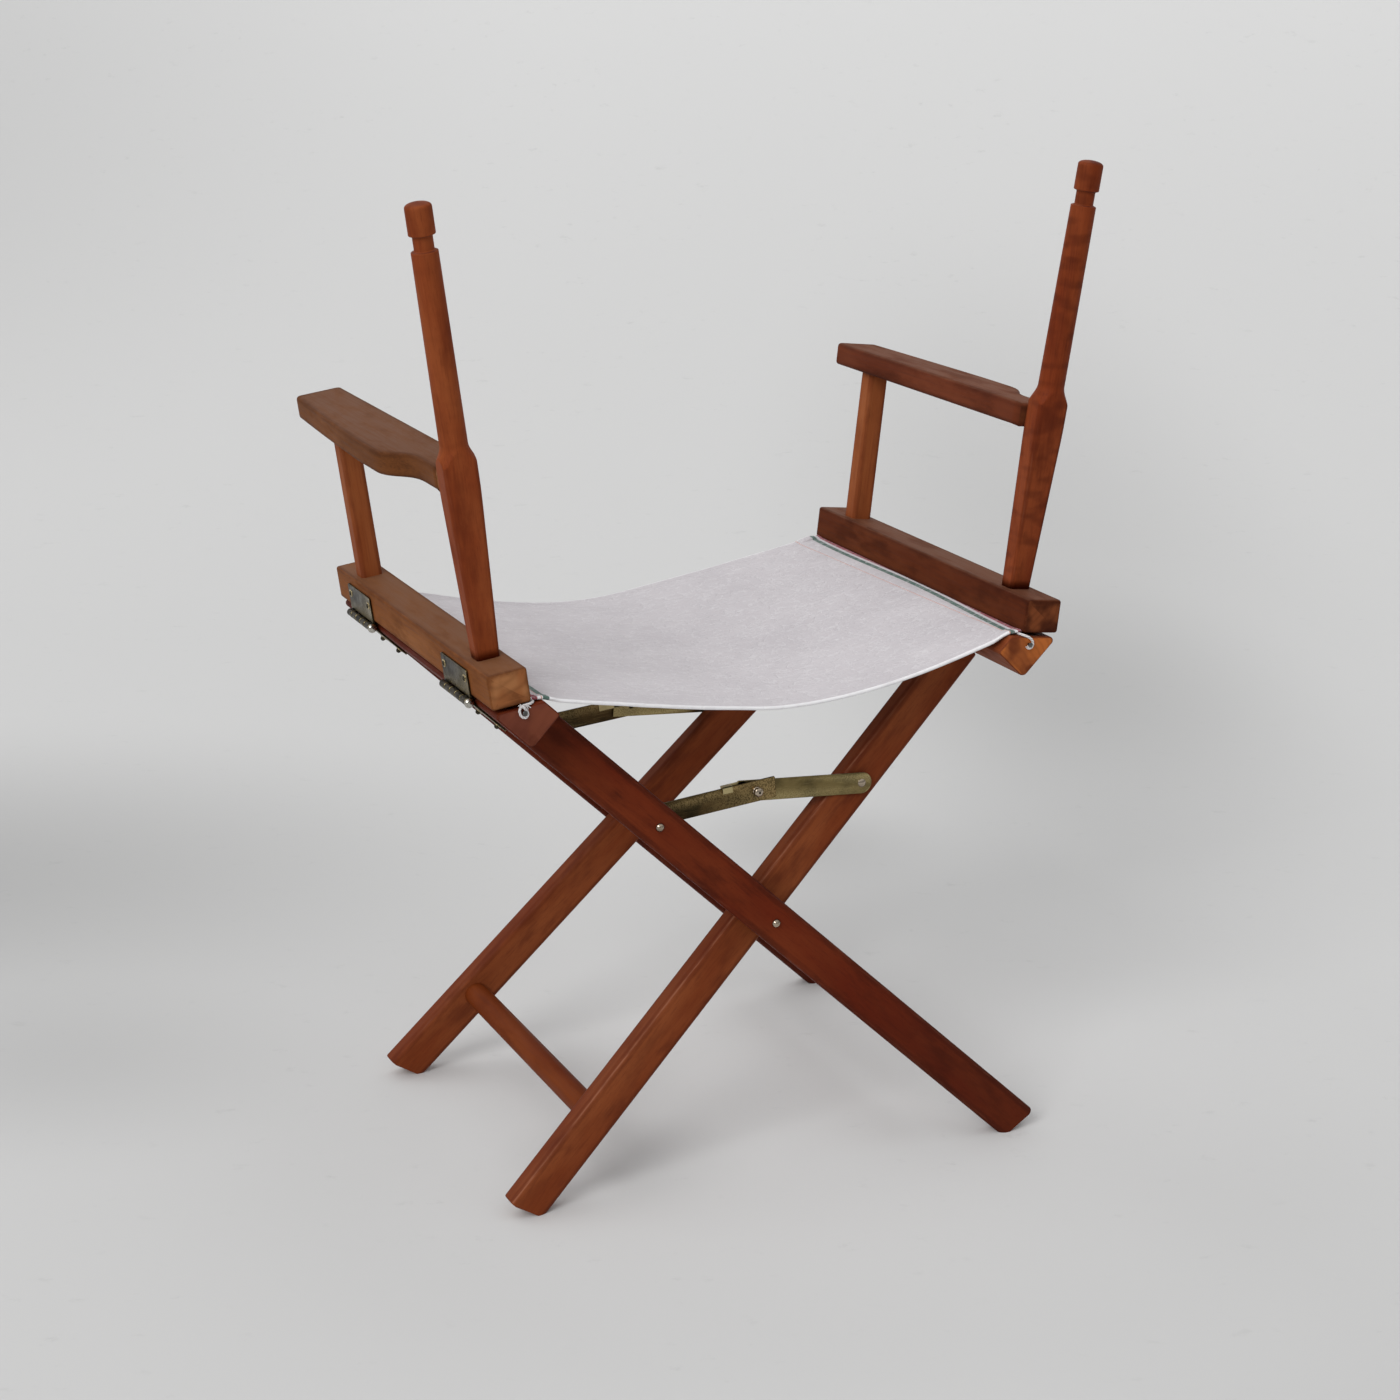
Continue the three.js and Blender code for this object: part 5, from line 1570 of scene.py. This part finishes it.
@dataclass(frozen=True)
class ArmHinge:
    """One of an arm's two hinges: an upper leaf, a lower leaf and a headed pin."""

    side: Side
    end: End
    sizes: ChairSizes = ChairSizes()
    length: float = 60.0
    rear_middle: float = 116.7
    front_middle: float = -126.0
    barrel_radius: float = 3.25
    knuckles: int = 5
    knuckle_gap: float = 0.9
    leaf_thickness: float = 1.6
    upper_height: float = 22.0
    lower_length: float = 42.0
    corner_radius: float = 2.2
    plate_edge: float = 0.3
    screw_radius: float = 3.4
    screw_height: float = 1.5
    lower_screw_height: float = 3.2
    upper_screw_rise: float = 14.0
    upper_screw_spacing: float = 47.8
    lower_screw_rise: float = 10.0
    lower_screw_spacing: float = 43.0
    pin_radius: float = 1.6
    pin_head_radius: float = 3.9
    pin_head_length: float = 4.6

    @property
    def middle(self) -> float:
        """The hinge's place fore and aft."""
        return self.rear_middle if self.end is End.REAR else self.front_middle

    def leaf(self, inner: float, reach: float, first: int) -> Shell:
        """A leaf about the barrel at the origin.

        Args:
            inner: The plate's near face.
            reach: How far the plate reaches up, or down if it is below 0.
            first: The first knuckle that the leaf owns.

        Returns:
            The leaf's skin.
        """
        up, pitch, half = math.copysign(1.0, reach), self.length / self.knuckles, self.length / 2
        root, outer = up * (self.barrel_radius + 0.35), inner + self.leaf_thickness
        radii = (0.4, self.corner_radius) if up > 0 else (self.corner_radius, 0.4)
        outline = Section.oblong((-half, half), sorted((root, reach)), radii)
        parts = [bar(outline, inner, outer, self.plate_edge, Along.X)]
        for index in range(first, self.knuckles, 2):
            start = index * pitch - half + self.knuckle_gap / 2
            stop = start + pitch - self.knuckle_gap
            tab = Section.oblong((start, stop), sorted((0.0, root + up * 0.8)), (0.1, 0.1), 2)
            parts += [bar(tab, inner, outer, 0.15, Along.X),
                      turned([(self.barrel_radius, start, 0.8), (self.barrel_radius, stop, 0.8)], 28)]
        return parts[0].joined(*parts[1:])

    def screws(self, inner: float, screw_at: float, spacing: float, height: float) -> Shell:
        """A leaf's two screws: the plate's near face, their place, their spacing and their heads' height."""
        head = slotted_head(self.screw_radius, height).moved(inner + self.leaf_thickness, 0.0, screw_at)
        return head.moved(y=-spacing / 2).joined(head.moved(y=spacing / 2))

    def pin(self) -> Shell:
        """The hinge pin with its ball-like head at the rear.

        Returns:
            Its skin.
        """
        end, shank, head, reach = self.length / 2, self.pin_radius, self.pin_head_radius, self.pin_head_length
        base = end + 0.1
        return turned([(shank, -end - 0.15, 0.4), (shank, base, 0.1), (0.72 * head, base, 0.6),
                       (head, base + 0.32 * reach, 1.0), (head, base + 0.62 * reach, 1.0),
                       (0.66 * head, base + 0.94 * reach, 0.9), (0.0, base + 1.04 * reach, 0)], 32)

    def build(self) -> None:
        """Makes the hinge's leaves and pin."""
        sizes, side = self.sizes, self.side
        out, drop = sizes.hinge_axis_out, sizes.hinge_axis_drop
        axis_x, axis_z = sizes.hinge_axis()
        upper_inner, lower_inner = 0.2 - out, sizes.leg_width / 2 + 0.2 - axis_x
        upper_screws = self.screws(upper_inner, drop + self.upper_screw_rise, self.upper_screw_spacing,
                                   self.screw_height)
        lower_screws = self.screws(lower_inner, sizes.rail_bottom + self.lower_screw_rise - axis_z,
                                   self.lower_screw_spacing, self.lower_screw_height)
        arm = ((sizes.arm_rail_width + out, self.middle, -drop), sizes.arm_frame(side), f"{side.word}_arm")
        rail = ((axis_x, self.middle, axis_z), sizes.leg_frame(side), CrossedFrame(side).body)
        for part, shell, screws, finish, (at, place, body) in (
                ("upper_leaf", self.leaf(upper_inner, drop + self.upper_height, 0), upper_screws,
                 Finishes.HINGE_STEEL, arm),
                ("lower_leaf", self.leaf(lower_inner, -self.lower_length, 1), lower_screws,
                 Finishes.HINGE_STEEL, rail),
                ("pin", self.pin(), None, Finishes.PIN_NICKEL, arm)):
            make_piece(f"{side.word}_{self.end.word}_hinge_{part}", shell.moved(*at).handed(side), place,
                       body, finish,
                       Along.Y, fittings=screws and screws.moved(*at).handed(side))


@dataclass(frozen=True)
class Arm:
    """One arm: the arm rail, its two posts and the armrest. x runs outward from the rail's inner face."""

    side: Side
    sizes: ChairSizes = ChairSizes()
    rail_radius: float = 2.5
    rail_edge: float = 2.2
    soil_width: float = 3.0
    rest_underside: float = 165.0
    rest_thickness: float = 20.0
    rest_arris: float = 3.0
    rest_front: float = -196.0
    rest_front_width: float = 41.5
    rest_corner: float = 5.0
    rest_widest: float = 50.0
    rest_widest_start: float = -5.0
    rest_widest_end: float = 40.0
    rest_rear_width: float = 31.0
    rest_rear_start: float = 104.0
    front_post_width: float = 19.0
    front_post_radius: float = 3.5
    front_post_out: float = 16.75
    front_post_depth: float = -145.0
    back_post_out: float = 15.8
    back_post_depth: float = 142.5
    back_post_rake: float = math.radians(3.4)
    back_post_lean: float = math.radians(0.6)
    base_width: float = 19.0
    base_thickness: float = 17.0
    post_width: float = 28.0
    post_thickness: float = 22.6
    post_arris: float = 4.0
    shoulder_start: float = 184.5
    shoulder_end: float = 203.5
    shoulder_swell: float = 0.31
    shaft_radius: float = 11.0
    shaft_top_radius: float = 10.4
    shaft_top: float = 353.0
    neck_radius: float = 7.75
    knob_start: float = 365.0
    knob_edge: float = 3.5
    post_top: float = 389.5
    post_sides: int = 96

    def rail(self) -> Shell:
        """The arm rail that lies on the seat rail."""
        section = Section.oblong((0, self.sizes.arm_rail_width), (0, self.sizes.arm_rail_height),
                                 (self.rail_radius,) * 2, 6, self.soil_width)
        half = self.sizes.rail_length / 2
        return bar(section, -half, half, self.rail_edge, Along.Y, apron=self.soil_width)

    def front_post(self) -> Shell:
        """The square post under the armrest's front."""
        sides = (-self.front_post_width / 2, self.front_post_width / 2)
        section = Section.oblong(sides, sides, (self.front_post_radius,) * 2, 5, 1.5)
        post = bar(section, self.sizes.arm_rail_height - 1.0, self.rest_underside + 1.0, 0.3)
        return post.moved(self.front_post_out, self.front_post_depth)

    def turned_radius(self, height: Array) -> Array:
        """The back post's turned radius at each height over the arm rail's underside.

        Args:
            height: The heights.

        Returns:
            The radii, wide where the stock is left square.
        """
        rise = self.shoulder_end - self.shoulder_start
        share = np.clip((height - self.shoulder_start) / rise, 0, 1)
        stock = self.shaft_radius + rise * self.shoulder_swell
        swell = self.shaft_radius + (stock - self.shaft_radius) * (1 + np.cos(np.pi * share)) / 2
        taper = np.clip((height - self.shoulder_end) / (self.shaft_top - self.shoulder_end), 0, 1)
        radius = swell - (self.shaft_radius - self.shaft_top_radius) * taper
        radius = np.where(height < self.shoulder_start, 2 * self.post_width, radius)
        into_neck = smooth_step(height, self.shaft_top - 0.6, self.shaft_top + 0.9)
        out_of_neck = smooth_step(height, self.knob_start - 0.9, self.knob_start + 0.6)
        radius = radius + (self.neck_radius - self.shaft_top_radius) * (into_neck - out_of_neck)
        crown = np.clip((height - (self.post_top - self.knob_edge - 1.5)) / (self.knob_edge + 1.5), 0, 1)
        return radius - self.shaft_top_radius * (1 - np.sqrt(1 - np.minimum(crown, 0.999) ** 3.2))

    def back_post(self) -> Shell:
        """The back post: squared below its shoulder and turned above it.

        Returns:
            Its skin.
        """
        rail_top, edge = self.sizes.arm_rail_height, self.knob_edge + 1.5
        stops = ((rail_top - 2, 14), (self.shoulder_start - 4, 30), (self.shoulder_end + 2, 16),
                 (self.shaft_top - 2, 12), (self.shaft_top + 2, 4), (self.knob_start - 2, 12),
                 (self.knob_start + 2, 5),
                 (self.post_top - self.knob_edge - 1.5, 0))
        heights = np.concatenate([
            *(np.linspace(low, high, count, endpoint=False)
              for (low, count), (high, _) in zip(stops, stops[1:])),
            self.post_top - edge * (1 - np.sin(np.linspace(0, math.pi / 2, 12)))])
        angles = np.linspace(0, 2 * math.pi, self.post_sides, endpoint=False) + 0.01
        across, deep = np.abs(np.cos(angles)), np.abs(np.sin(angles))
        rings, wear = [], []
        for height, radius in zip(heights, self.turned_radius(heights)):
            flare = np.clip((height - rail_top) / (self.rest_underside - rail_top), 0, 1)
            half_x = (self.base_width + (self.post_width - self.base_width) * flare) / 2
            half_y = (self.base_thickness + (self.post_thickness - self.base_thickness) * flare) / 2
            arris = self.post_arris * half_x * 2 / self.post_width
            flat = np.minimum(half_x / np.maximum(across, 1e-6), half_y / np.maximum(deep, 1e-6))
            centre_x, centre_y = half_x - arris, half_y - arris
            along = across * centre_x + deep * centre_y
            bend = along + np.sqrt(np.maximum(along**2 - centre_x**2 - centre_y**2 + arris**2, 0))
            at_corner = (flat * across > centre_x) & (flat * deep > centre_y)
            square = np.where(at_corner, bend, flat)
            reach = np.minimum(square, radius)
            rings.append(Along.Z.place(reach * np.cos(angles), reach * np.sin(angles),
                                       np.full(len(angles), height)))
            rounded = np.clip((flat - bend) / (0.4 * arris) + 0.4, 0, 1)
            wear.append(np.where(at_corner & (square < radius), rounded, 0.0))
        turn = Matrix.Rotation(self.back_post_lean, 4, "Y") @ Matrix.Rotation(-self.back_post_rake, 4, "X")
        return skin(rings, wear).turned(turn).moved(self.back_post_out, self.back_post_depth)

    def rest_outline(self) -> Array:
        """The armrest's plan: straight inside, bowed outside and waisted towards the back post.

        Returns:
            The outline's points, counterclockwise.
        """
        corner, front = self.rest_corner, self.rest_front
        wide, widest = self.rest_front_width, self.rest_widest
        narrow, waist_start, waist_end = self.rest_rear_width, self.rest_widest_end, self.rest_rear_start
        middle = self.rest_underside + self.rest_thickness / 2
        rear = self.back_post_depth + middle * math.sin(self.back_post_rake) - self.post_thickness / 2 + 0.4
        quarter = np.linspace(0, math.pi / 2, 8)
        sine, cosine = corner * (1 - np.sin(quarter)), corner * (1 - np.cos(quarter))
        t = np.linspace(0, 1, 20, endpoint=False)[1:, None]
        bow = np.array(((wide + widest) / 2 + 1, (front + self.rest_widest_start) / 2))
        bowed = ((1 - t) ** 2 * np.array((wide, front + corner)) + 2 * t * (1 - t) * bow
                 + t**2 * np.array((widest, self.rest_widest_start)))
        straight = np.linspace(self.rest_widest_start, waist_start, 5, endpoint=False)
        waist = (waist_start + waist_end) / 2
        a, b, c, d = (np.array(knot) for knot in ((widest, waist_start), (widest, waist), (narrow, waist),
                                                  (narrow, waist_end)))
        t = np.linspace(0, 1, 24, endpoint=False)[:, None]
        return np.vstack([
            np.column_stack((np.zeros(24), np.linspace(rear, front + corner, 24, endpoint=False))),
            np.column_stack((cosine, front + sine)),
            np.column_stack((wide - sine, front + cosine)),
            bowed,
            np.column_stack((np.full(5, widest), straight)),
            (1 - t) ** 3 * a + 3 * t * (1 - t) ** 2 * b + 3 * t**2 * (1 - t) * c + t**3 * d,
            np.column_stack((np.full(5, narrow), np.linspace(waist_end, rear, 5)))])

    def rest(self) -> Shell:
        """The armrest board with its rounded arrises."""
        low, high = self.rest_underside, self.rest_underside + self.rest_thickness
        return bar(Section.traced(self.rest_outline()), low, high, self.rest_arris, apron=self.soil_width)

    def build(self) -> None:
        """Makes the arm's timber."""
        place, word = self.sizes.arm_frame(self.side), self.side.word
        if self.side is Side.LEFT:
            woods = (Finishes.LEFT_ARM_WOOD, Finishes.LEFT_POST_WOOD, Finishes.LEFT_REST_WOOD)
        else:
            woods = (Finishes.RIGHT_RAIL_WOOD, Finishes.RIGHT_POST_WOOD, Finishes.RIGHT_REST_WOOD)
        for part, shell, finish, grain in (("arm_rail", self.rail(), woods[0], Along.Y),
                                           ("front_post", self.front_post(), Finishes.FRONT_POST_WOOD,
                                            Along.Z),
                                           ("back_post", self.back_post(), woods[1], Along.Z),
                                           ("armrest", self.rest(), woods[2], Along.Y)):
            make_piece(f"{word}_{part}", shell.handed(self.side), place, f"{word}_arm", finish, grain)


# ---------------------------------------------------------------- the sling seat


@dataclass(frozen=True)
class SlingSeat:
    """The canvas seat that hangs between the rails, hemmed all round."""

    sizes: ChairSizes = ChairSizes()
    front: float = -190.0
    rear: float = 187.0
    thickness: float = 0.8
    rest_gap: float = 0.15
    low_height: float = 418.3
    front_rise: float = 2.4
    front_low_at: float = 20.0
    rear_low_at: float = -15.0
    front_bend: tuple[float, float] = (1.45, 1.12)
    rear_bend: tuple[float, float] = (1.12, 1.55)
    hem_width: float = 9.0
    hem_half: float = 1.5
    pitch: float = 3.0
    left_stripe_shift: float = 7.0
    left_stripe_gap: float = 4.0
    stripe_wander: float = 2.0
    seam_at: float = -5.5
    seam_drift: float = 0.035

    def profile(self, x: Array, low_at: float, bend: tuple[float, float]) -> Array:
        """The share of the rise from the lowest line, 0, to the rails, 1, at each place across.

        Args:
            x: The places across the chair.
            low_at: Where the seat is lowest.
            bend: How curved the left and right stretches are.

        Returns:
            The shares.
        """
        left, edge, ease = x > low_at, self.sizes.rail_edge[0], 0.12
        share = np.where(left, (x - low_at) / (edge - low_at), (low_at - x) / (edge + low_at))
        share = (np.sqrt(np.clip(share, 0, 1) ** 2 + ease**2) - ease) / (math.sqrt(1 + ease**2) - ease)
        return np.power(share, np.where(left, bend[0], bend[1]))

    def across(self) -> tuple[Array, Array]:
        """The columns across the seat.

        Returns:
            Each column's distance from the middle, and its distance past the rail's inner edge.
        """
        edge, groove = self.sizes.rail_edge[0], self.sizes.groove_out
        wrap = math.radians(285) * (self.sizes.hem_radius - self.thickness / 2)
        count = round(edge / self.pitch)
        past = np.concatenate([-edge + np.arange(count) * edge / count, np.linspace(0, groove, 22)[:-1],
                               groove + np.linspace(0, wrap, 20)])
        distance = edge + past
        return np.concatenate([-distance[:0:-1], distance]), np.concatenate([past[:0:-1], past])

    def middle_line(self, share: float, lift: Array) -> Array:
        """The seat's middle layer across one row.

        Args:
            share: The row's place from the front, 0, to the rear, 1.
            lift: How far the row is lifted off the rail at each column.

        Returns:
            The row's x and z.
        """
        sizes, groove = self.sizes, self.sizes.groove_out
        columns, past = self.across()
        edge, edge_height = sizes.rail_edge
        rise, radius = self.rest_gap + self.thickness / 2, sizes.hem_radius - self.thickness / 2
        ease = float(smooth_step(share, 0.0, 1.0))
        x = np.clip(columns, -edge, edge)
        shape = ((1 - ease) * self.profile(x, self.front_low_at, self.front_bend)
                 + ease * self.profile(x, self.rear_low_at, self.rear_bend))
        low = self.low_height + self.front_rise * (1 - ease)
        z = low + (edge_height + rise - low) * shape
        on_rail, over = np.clip(past, 0, groove), past > 0
        turn = np.maximum(past - groove, 0) / radius
        out = on_rail + radius * np.sin(turn)
        above = rise + (sizes.hem_rise + radius - rise) * smooth_step(on_rail, groove - 7, groove)
        above = above - radius * (1 - np.cos(turn)) - np.where(over, rise, 0.0)
        sine, cosine = math.sin(sizes.arm_lean), math.cos(sizes.arm_lean)
        x = np.where(over, np.sign(columns) * (edge + out * cosine - above * sine), x)
        return np.column_stack((x, np.where(over, z + out * sine + above * cosine, z) + lift))

    @property
    def rows(self) -> Array:
        """The rows from front to rear, closer together at the hems."""
        hem = np.array((0.0, 0.15, 0.45, 0.9, 1.5, 2.3, 3.4, 4.8, 6.2, 6.8, 7.3, 7.9, 8.5, 9.1, 9.8, 11.0,
                        13.0))
        inner = np.linspace(self.front + 15, self.rear - 15, 118)
        return np.concatenate([self.front + hem, inner, (self.rear - hem)[::-1]])

    @property
    def depth(self) -> Array:
        """Each row's distance in from the front or rear edge."""
        return np.minimum(self.rows - self.front, self.rear - self.rows)

    def layers(self) -> tuple[Array, Array]:
        """How far the top and the underside stand from the middle layer.

        Returns:
            The top's and the underside's offsets, row by row.
        """
        roll, depth = self.hem_half, self.depth
        swell = np.sqrt(np.maximum(1 - (1 - np.clip(depth / roll, 0, 1)) ** 2, 0.0)) * roll
        swell = swell + (1.35 - roll) * smooth_step(depth, roll, self.hem_width - 2.5)
        step = smooth_step(depth, self.hem_width - 0.9, self.hem_width + 0.3)
        swell = swell + (self.thickness / 2 - swell) * step
        stitched = 0.3 * np.exp(-((depth - self.hem_width + 2.0) ** 2) / 0.5)
        sink = -0.5 * (1 - step)
        return sink + swell - stitched, sink - swell + stitched

    def crumple(self, x: float, y: float) -> float:
        """How high the slack waves and fine crumples of the cloth stand at one place."""
        waves = ((1.5, (x * 0.006, y * 0.021, 3.1)), (0.5, (x * 0.011 + y * 0.013, y * 0.05 - x * 0.02, 7.7)),
                 (0.16, (x * 0.05, y * 0.07, 1.3)))
        return sum(height * noise.noise(Vector(place)) for height, place in waves)

    def build(self) -> None:
        """Makes the seat as one closed cloth and hangs it between the two frames."""
        groove, half = self.sizes.groove_out, self.thickness / 2
        past = self.across()[1]
        top, under = self.layers()
        near_rail, free = smooth_step(past, -16, -1), smooth_step(-past, 2.0, 40.0)
        pressed = 1 - 0.36 * smooth_step(past, 1.0, 8.0)
        middle = np.zeros((len(top), len(past), 3))
        for index, (y, depth) in enumerate(zip(self.rows, self.depth)):
            lift = np.maximum(-under[index] * pressed - half, 0) * near_rail
            lift = np.where(past > groove - 8, 0.0, lift)
            line = self.middle_line((y - self.front) / (self.rear - self.front), lift)
            wave = np.array([self.crumple(x, y) for x in line[:, 0]]) * free
            drift = 0.8 * np.array([noise.noise(Vector((x * 0.012, math.copysign(9, y), 0)))
                                    for x in line[:, 0]])
            hem_pull = drift * smooth_step(depth, 30, 0) * free
            middle[index] = Along.Y.place(line[:, 0], line[:, 1] + wave, y + hem_pull)
        normals = np.cross(np.gradient(middle, axis=1), np.gradient(middle, axis=0))
        normals /= np.linalg.norm(normals, axis=2)[:, :, None]
        thin = smooth_step(past, groove - 9, groove - 5)
        upper, lower = (
            middle + normals * (offset[:, None] * pressed * (1 - thin) + flat[:, None] * thin)[:, :, None]
            for offset, flat in ((top, np.minimum(top, half)), (under, np.maximum(under, -half))))
        self.hang(self.closed(upper, lower), middle)

    def closed(self, upper: Array, lower: Array) -> Shell:
        """A closed skin over two layers of the same grid.

        Args:
            upper: The top layer's points.
            lower: The underside's points.

        Returns:
            The skin.
        """
        count = upper.shape[0] * upper.shape[1]
        index = np.arange(count).reshape(upper.shape[:2])
        quads = np.stack((index[:-1, :-1], index[:-1, 1:], index[1:, 1:], index[1:, :-1]),
                         axis=-1).reshape(-1, 4)
        rim = np.concatenate([index[0, :-1], index[:-1, -1], index[-1, :0:-1], index[:0:-1, 0]])
        around = np.roll(rim, -1)
        walls = np.stack((around, rim, rim + count, around + count), axis=-1)
        faces = np.vstack((quads, quads[:, ::-1] + count, walls))
        points = np.vstack((upper.reshape(-1, 3), lower.reshape(-1, 3)))
        return Shell(points, [tuple(face) for face in faces.tolist()], np.zeros(2 * count))

    def hang(self, shell: Shell, middle: Array) -> None:
        """Makes the cloth piece with its flat map, stripes and seams, and sets it in place between the
        frames.

        Args:
            shell: The closed cloth.
            middle: The middle layer's points.
        """
        node, finish, rows = "seat_canvas", Finishes.CANVAS.value, self.rows
        columns, past = self.across()
        sway = self.stripe_wander * np.sin(2 * math.pi * (rows + 60) / 320)
        shift = self.left_stripe_shift - self.left_stripe_gap * smooth_step(past, -5.0, 10.0)
        numbers = {
            "from_rail": past[None, :] - sway[:, None] + np.where(np.sign(columns) > 0, shift, 0.0)[None, :],
            "from_seam": past[None, :] - self.seam_at - self.seam_drift * rows[:, None],
            "from_edge": self.depth[:, None] + 0 * columns[None, :]}
        numbers = {key: np.tile(values.ravel(), 2) for key, values in numbers.items()}
        mesh = make_mesh(f"{node}.{finish.stock}", shell, Matrix.Identity(4), numbers=numbers)
        mesh.materials.append(finish.material())
        steps = np.linalg.norm(np.diff(middle[len(rows) // 2], axis=0), axis=1)
        spread = np.concatenate([[0.0], np.cumsum(steps)]) - steps.sum() / 2
        flat = np.stack(np.meshgrid(spread, rows), axis=-1).reshape(-1, 2) * MILLIMETRE
        corners = np.empty(len(mesh.loops), int)
        mesh.loops.foreach_get("vertex_index", corners)
        mesh.uv_layers.new(name="cloth").data.foreach_set("uv", np.vstack((flat, flat))[corners].ravel())
        piece = put(mesh.name, mesh)
        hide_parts(node)
        edge, height = self.sizes.rail_edge[0] * MILLIMETRE, self.low_height * MILLIMETRE
        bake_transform(piece)
        LOG.info("%s hangs between the frames: %d faces", piece.name, len(shell.faces))


# ---------------------------------------------------------------- the studio


@dataclass(frozen=True)
class Lamp:
    """A soft lamp so far away that its light is even. It shines from a place towards the chair."""

    name: str
    place: Triple
    strength: float
    softness: float
    colour: Colour = (1.0, 1.0, 1.0)

    def build(self) -> None:
        """Makes the lamp."""
        light = bpy.data.lights.new(self.name, "SUN")
        light.energy, light.angle, light.color = self.strength, math.radians(self.softness), self.colour
        lamp = put(self.name, light)
        lamp.location = self.place
        lamp.rotation_euler = (-Vector(self.place)).to_track_quat("-Z", "Y").to_euler()


@dataclass(frozen=True)
class Studio:
    """The seamless floor, the soft lamps, the sky as a wide overhead diffuser, and the camera."""

    azimuth: float = math.radians(24.35)
    elevation: float = math.radians(17.04)
    roll: float = math.radians(-0.54)
    camera_place: Triple = (0.943445, 2.105987, 1.080077)
    lens: float = 71.19
    cove_depth: float = 1600.0
    cove_radius: float = 4200.0
    half_width: float = 8000.0
    front_reach: float = 8000.0
    zenith: float = 0.80
    horizon: float = 0.30
    lamps: tuple[Lamp, ...] = (
        Lamp("key lamp", (2.3, 1.5, 1.9), 1.30, 30.0),
        Lamp("rim lamp", (1.2, -1.2, 2.6), 0.50, 50.0),
    )

    def cove(self) -> None:
        """Makes the floor that curves up into the backdrop."""
        radius, depth = self.cove_radius, self.cove_depth
        line = [(self.front_reach, 0.0)]
        line += [(-depth - radius * math.sin(a), radius * (1 - math.cos(a)))
                 for a in np.linspace(0, math.pi / 2, 37)]
        points = np.array([(x, y, z) for y, z in line for x in (-self.half_width, self.half_width)])
        faces = [(2 * i, 2 * i + 1, 2 * i + 3, 2 * i + 2) for i in range(len(line) - 1)]
        shell = Shell(points, faces, np.zeros(len(points)))
        mesh = make_mesh("studio_floor", shell, Matrix.Rotation(-self.azimuth, 4, "Z"), outward=False)
        mesh.materials.append(Finishes.BACKDROP.value.material())
        put("studio_floor", mesh)

    def sky(self) -> None:
        """Makes a sky that is bright overhead and dim round the sides."""
        world = bpy.context.scene.world or bpy.data.worlds.new("studio_sky")
        bpy.context.scene.world = world
        recipe = Recipe(world)
        height = recipe.node("SeparateXYZ", recipe.node("TexCoord").outputs["Generated"]).outputs[2]
        strength = recipe.span(height, 0.05, 0.9, self.horizon, self.zenith)
        recipe.node("OutputWorld", recipe.node("Background", (0.985, 0.99, 1.0), strength).outputs[0])

    def camera(self) -> None:
        """Places the camera."""
        view = bpy.data.cameras.new("studio camera")
        view.sensor_width, view.lens, view.clip_start, view.clip_end = 36.0, self.lens, 0.05, 50.0
        flat = math.cos(self.elevation)
        back = Vector((math.sin(self.azimuth) * flat, math.cos(self.azimuth) * flat,
                       math.sin(self.elevation)))
        level = (-back).to_track_quat("-Z", "Y").to_matrix().to_4x4()
        camera = put("studio camera", view)
        camera.matrix_world = Matrix.Translation(self.camera_place) @ level @ Matrix.Rotation(self.roll, 4,
                                                                                              "Z")
        bpy.context.scene.camera = camera

    def build(self) -> None:
        """Makes the studio."""
        self.camera()
        self.cove()
        self.sky()
        for lamp in self.lamps:
            lamp.build()
        bpy.context.scene.view_settings.view_transform = "Standard"


def main() -> None:
    """Builds the chair and its studio."""
    logging.basicConfig(level=logging.INFO, format="%(message)s")
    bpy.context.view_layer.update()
    Studio().build()
    for side in Side:
        for build in (CrossedFrame(side), HemCord(side), Arm(side), *(ArmHinge(side, end) for end in End)):
            build.build()
    for assembly in (*(Brace(end) for end in End), Pivots(), SlingSeat()):
        assembly.build()


if __name__ == "__main__":
    main()
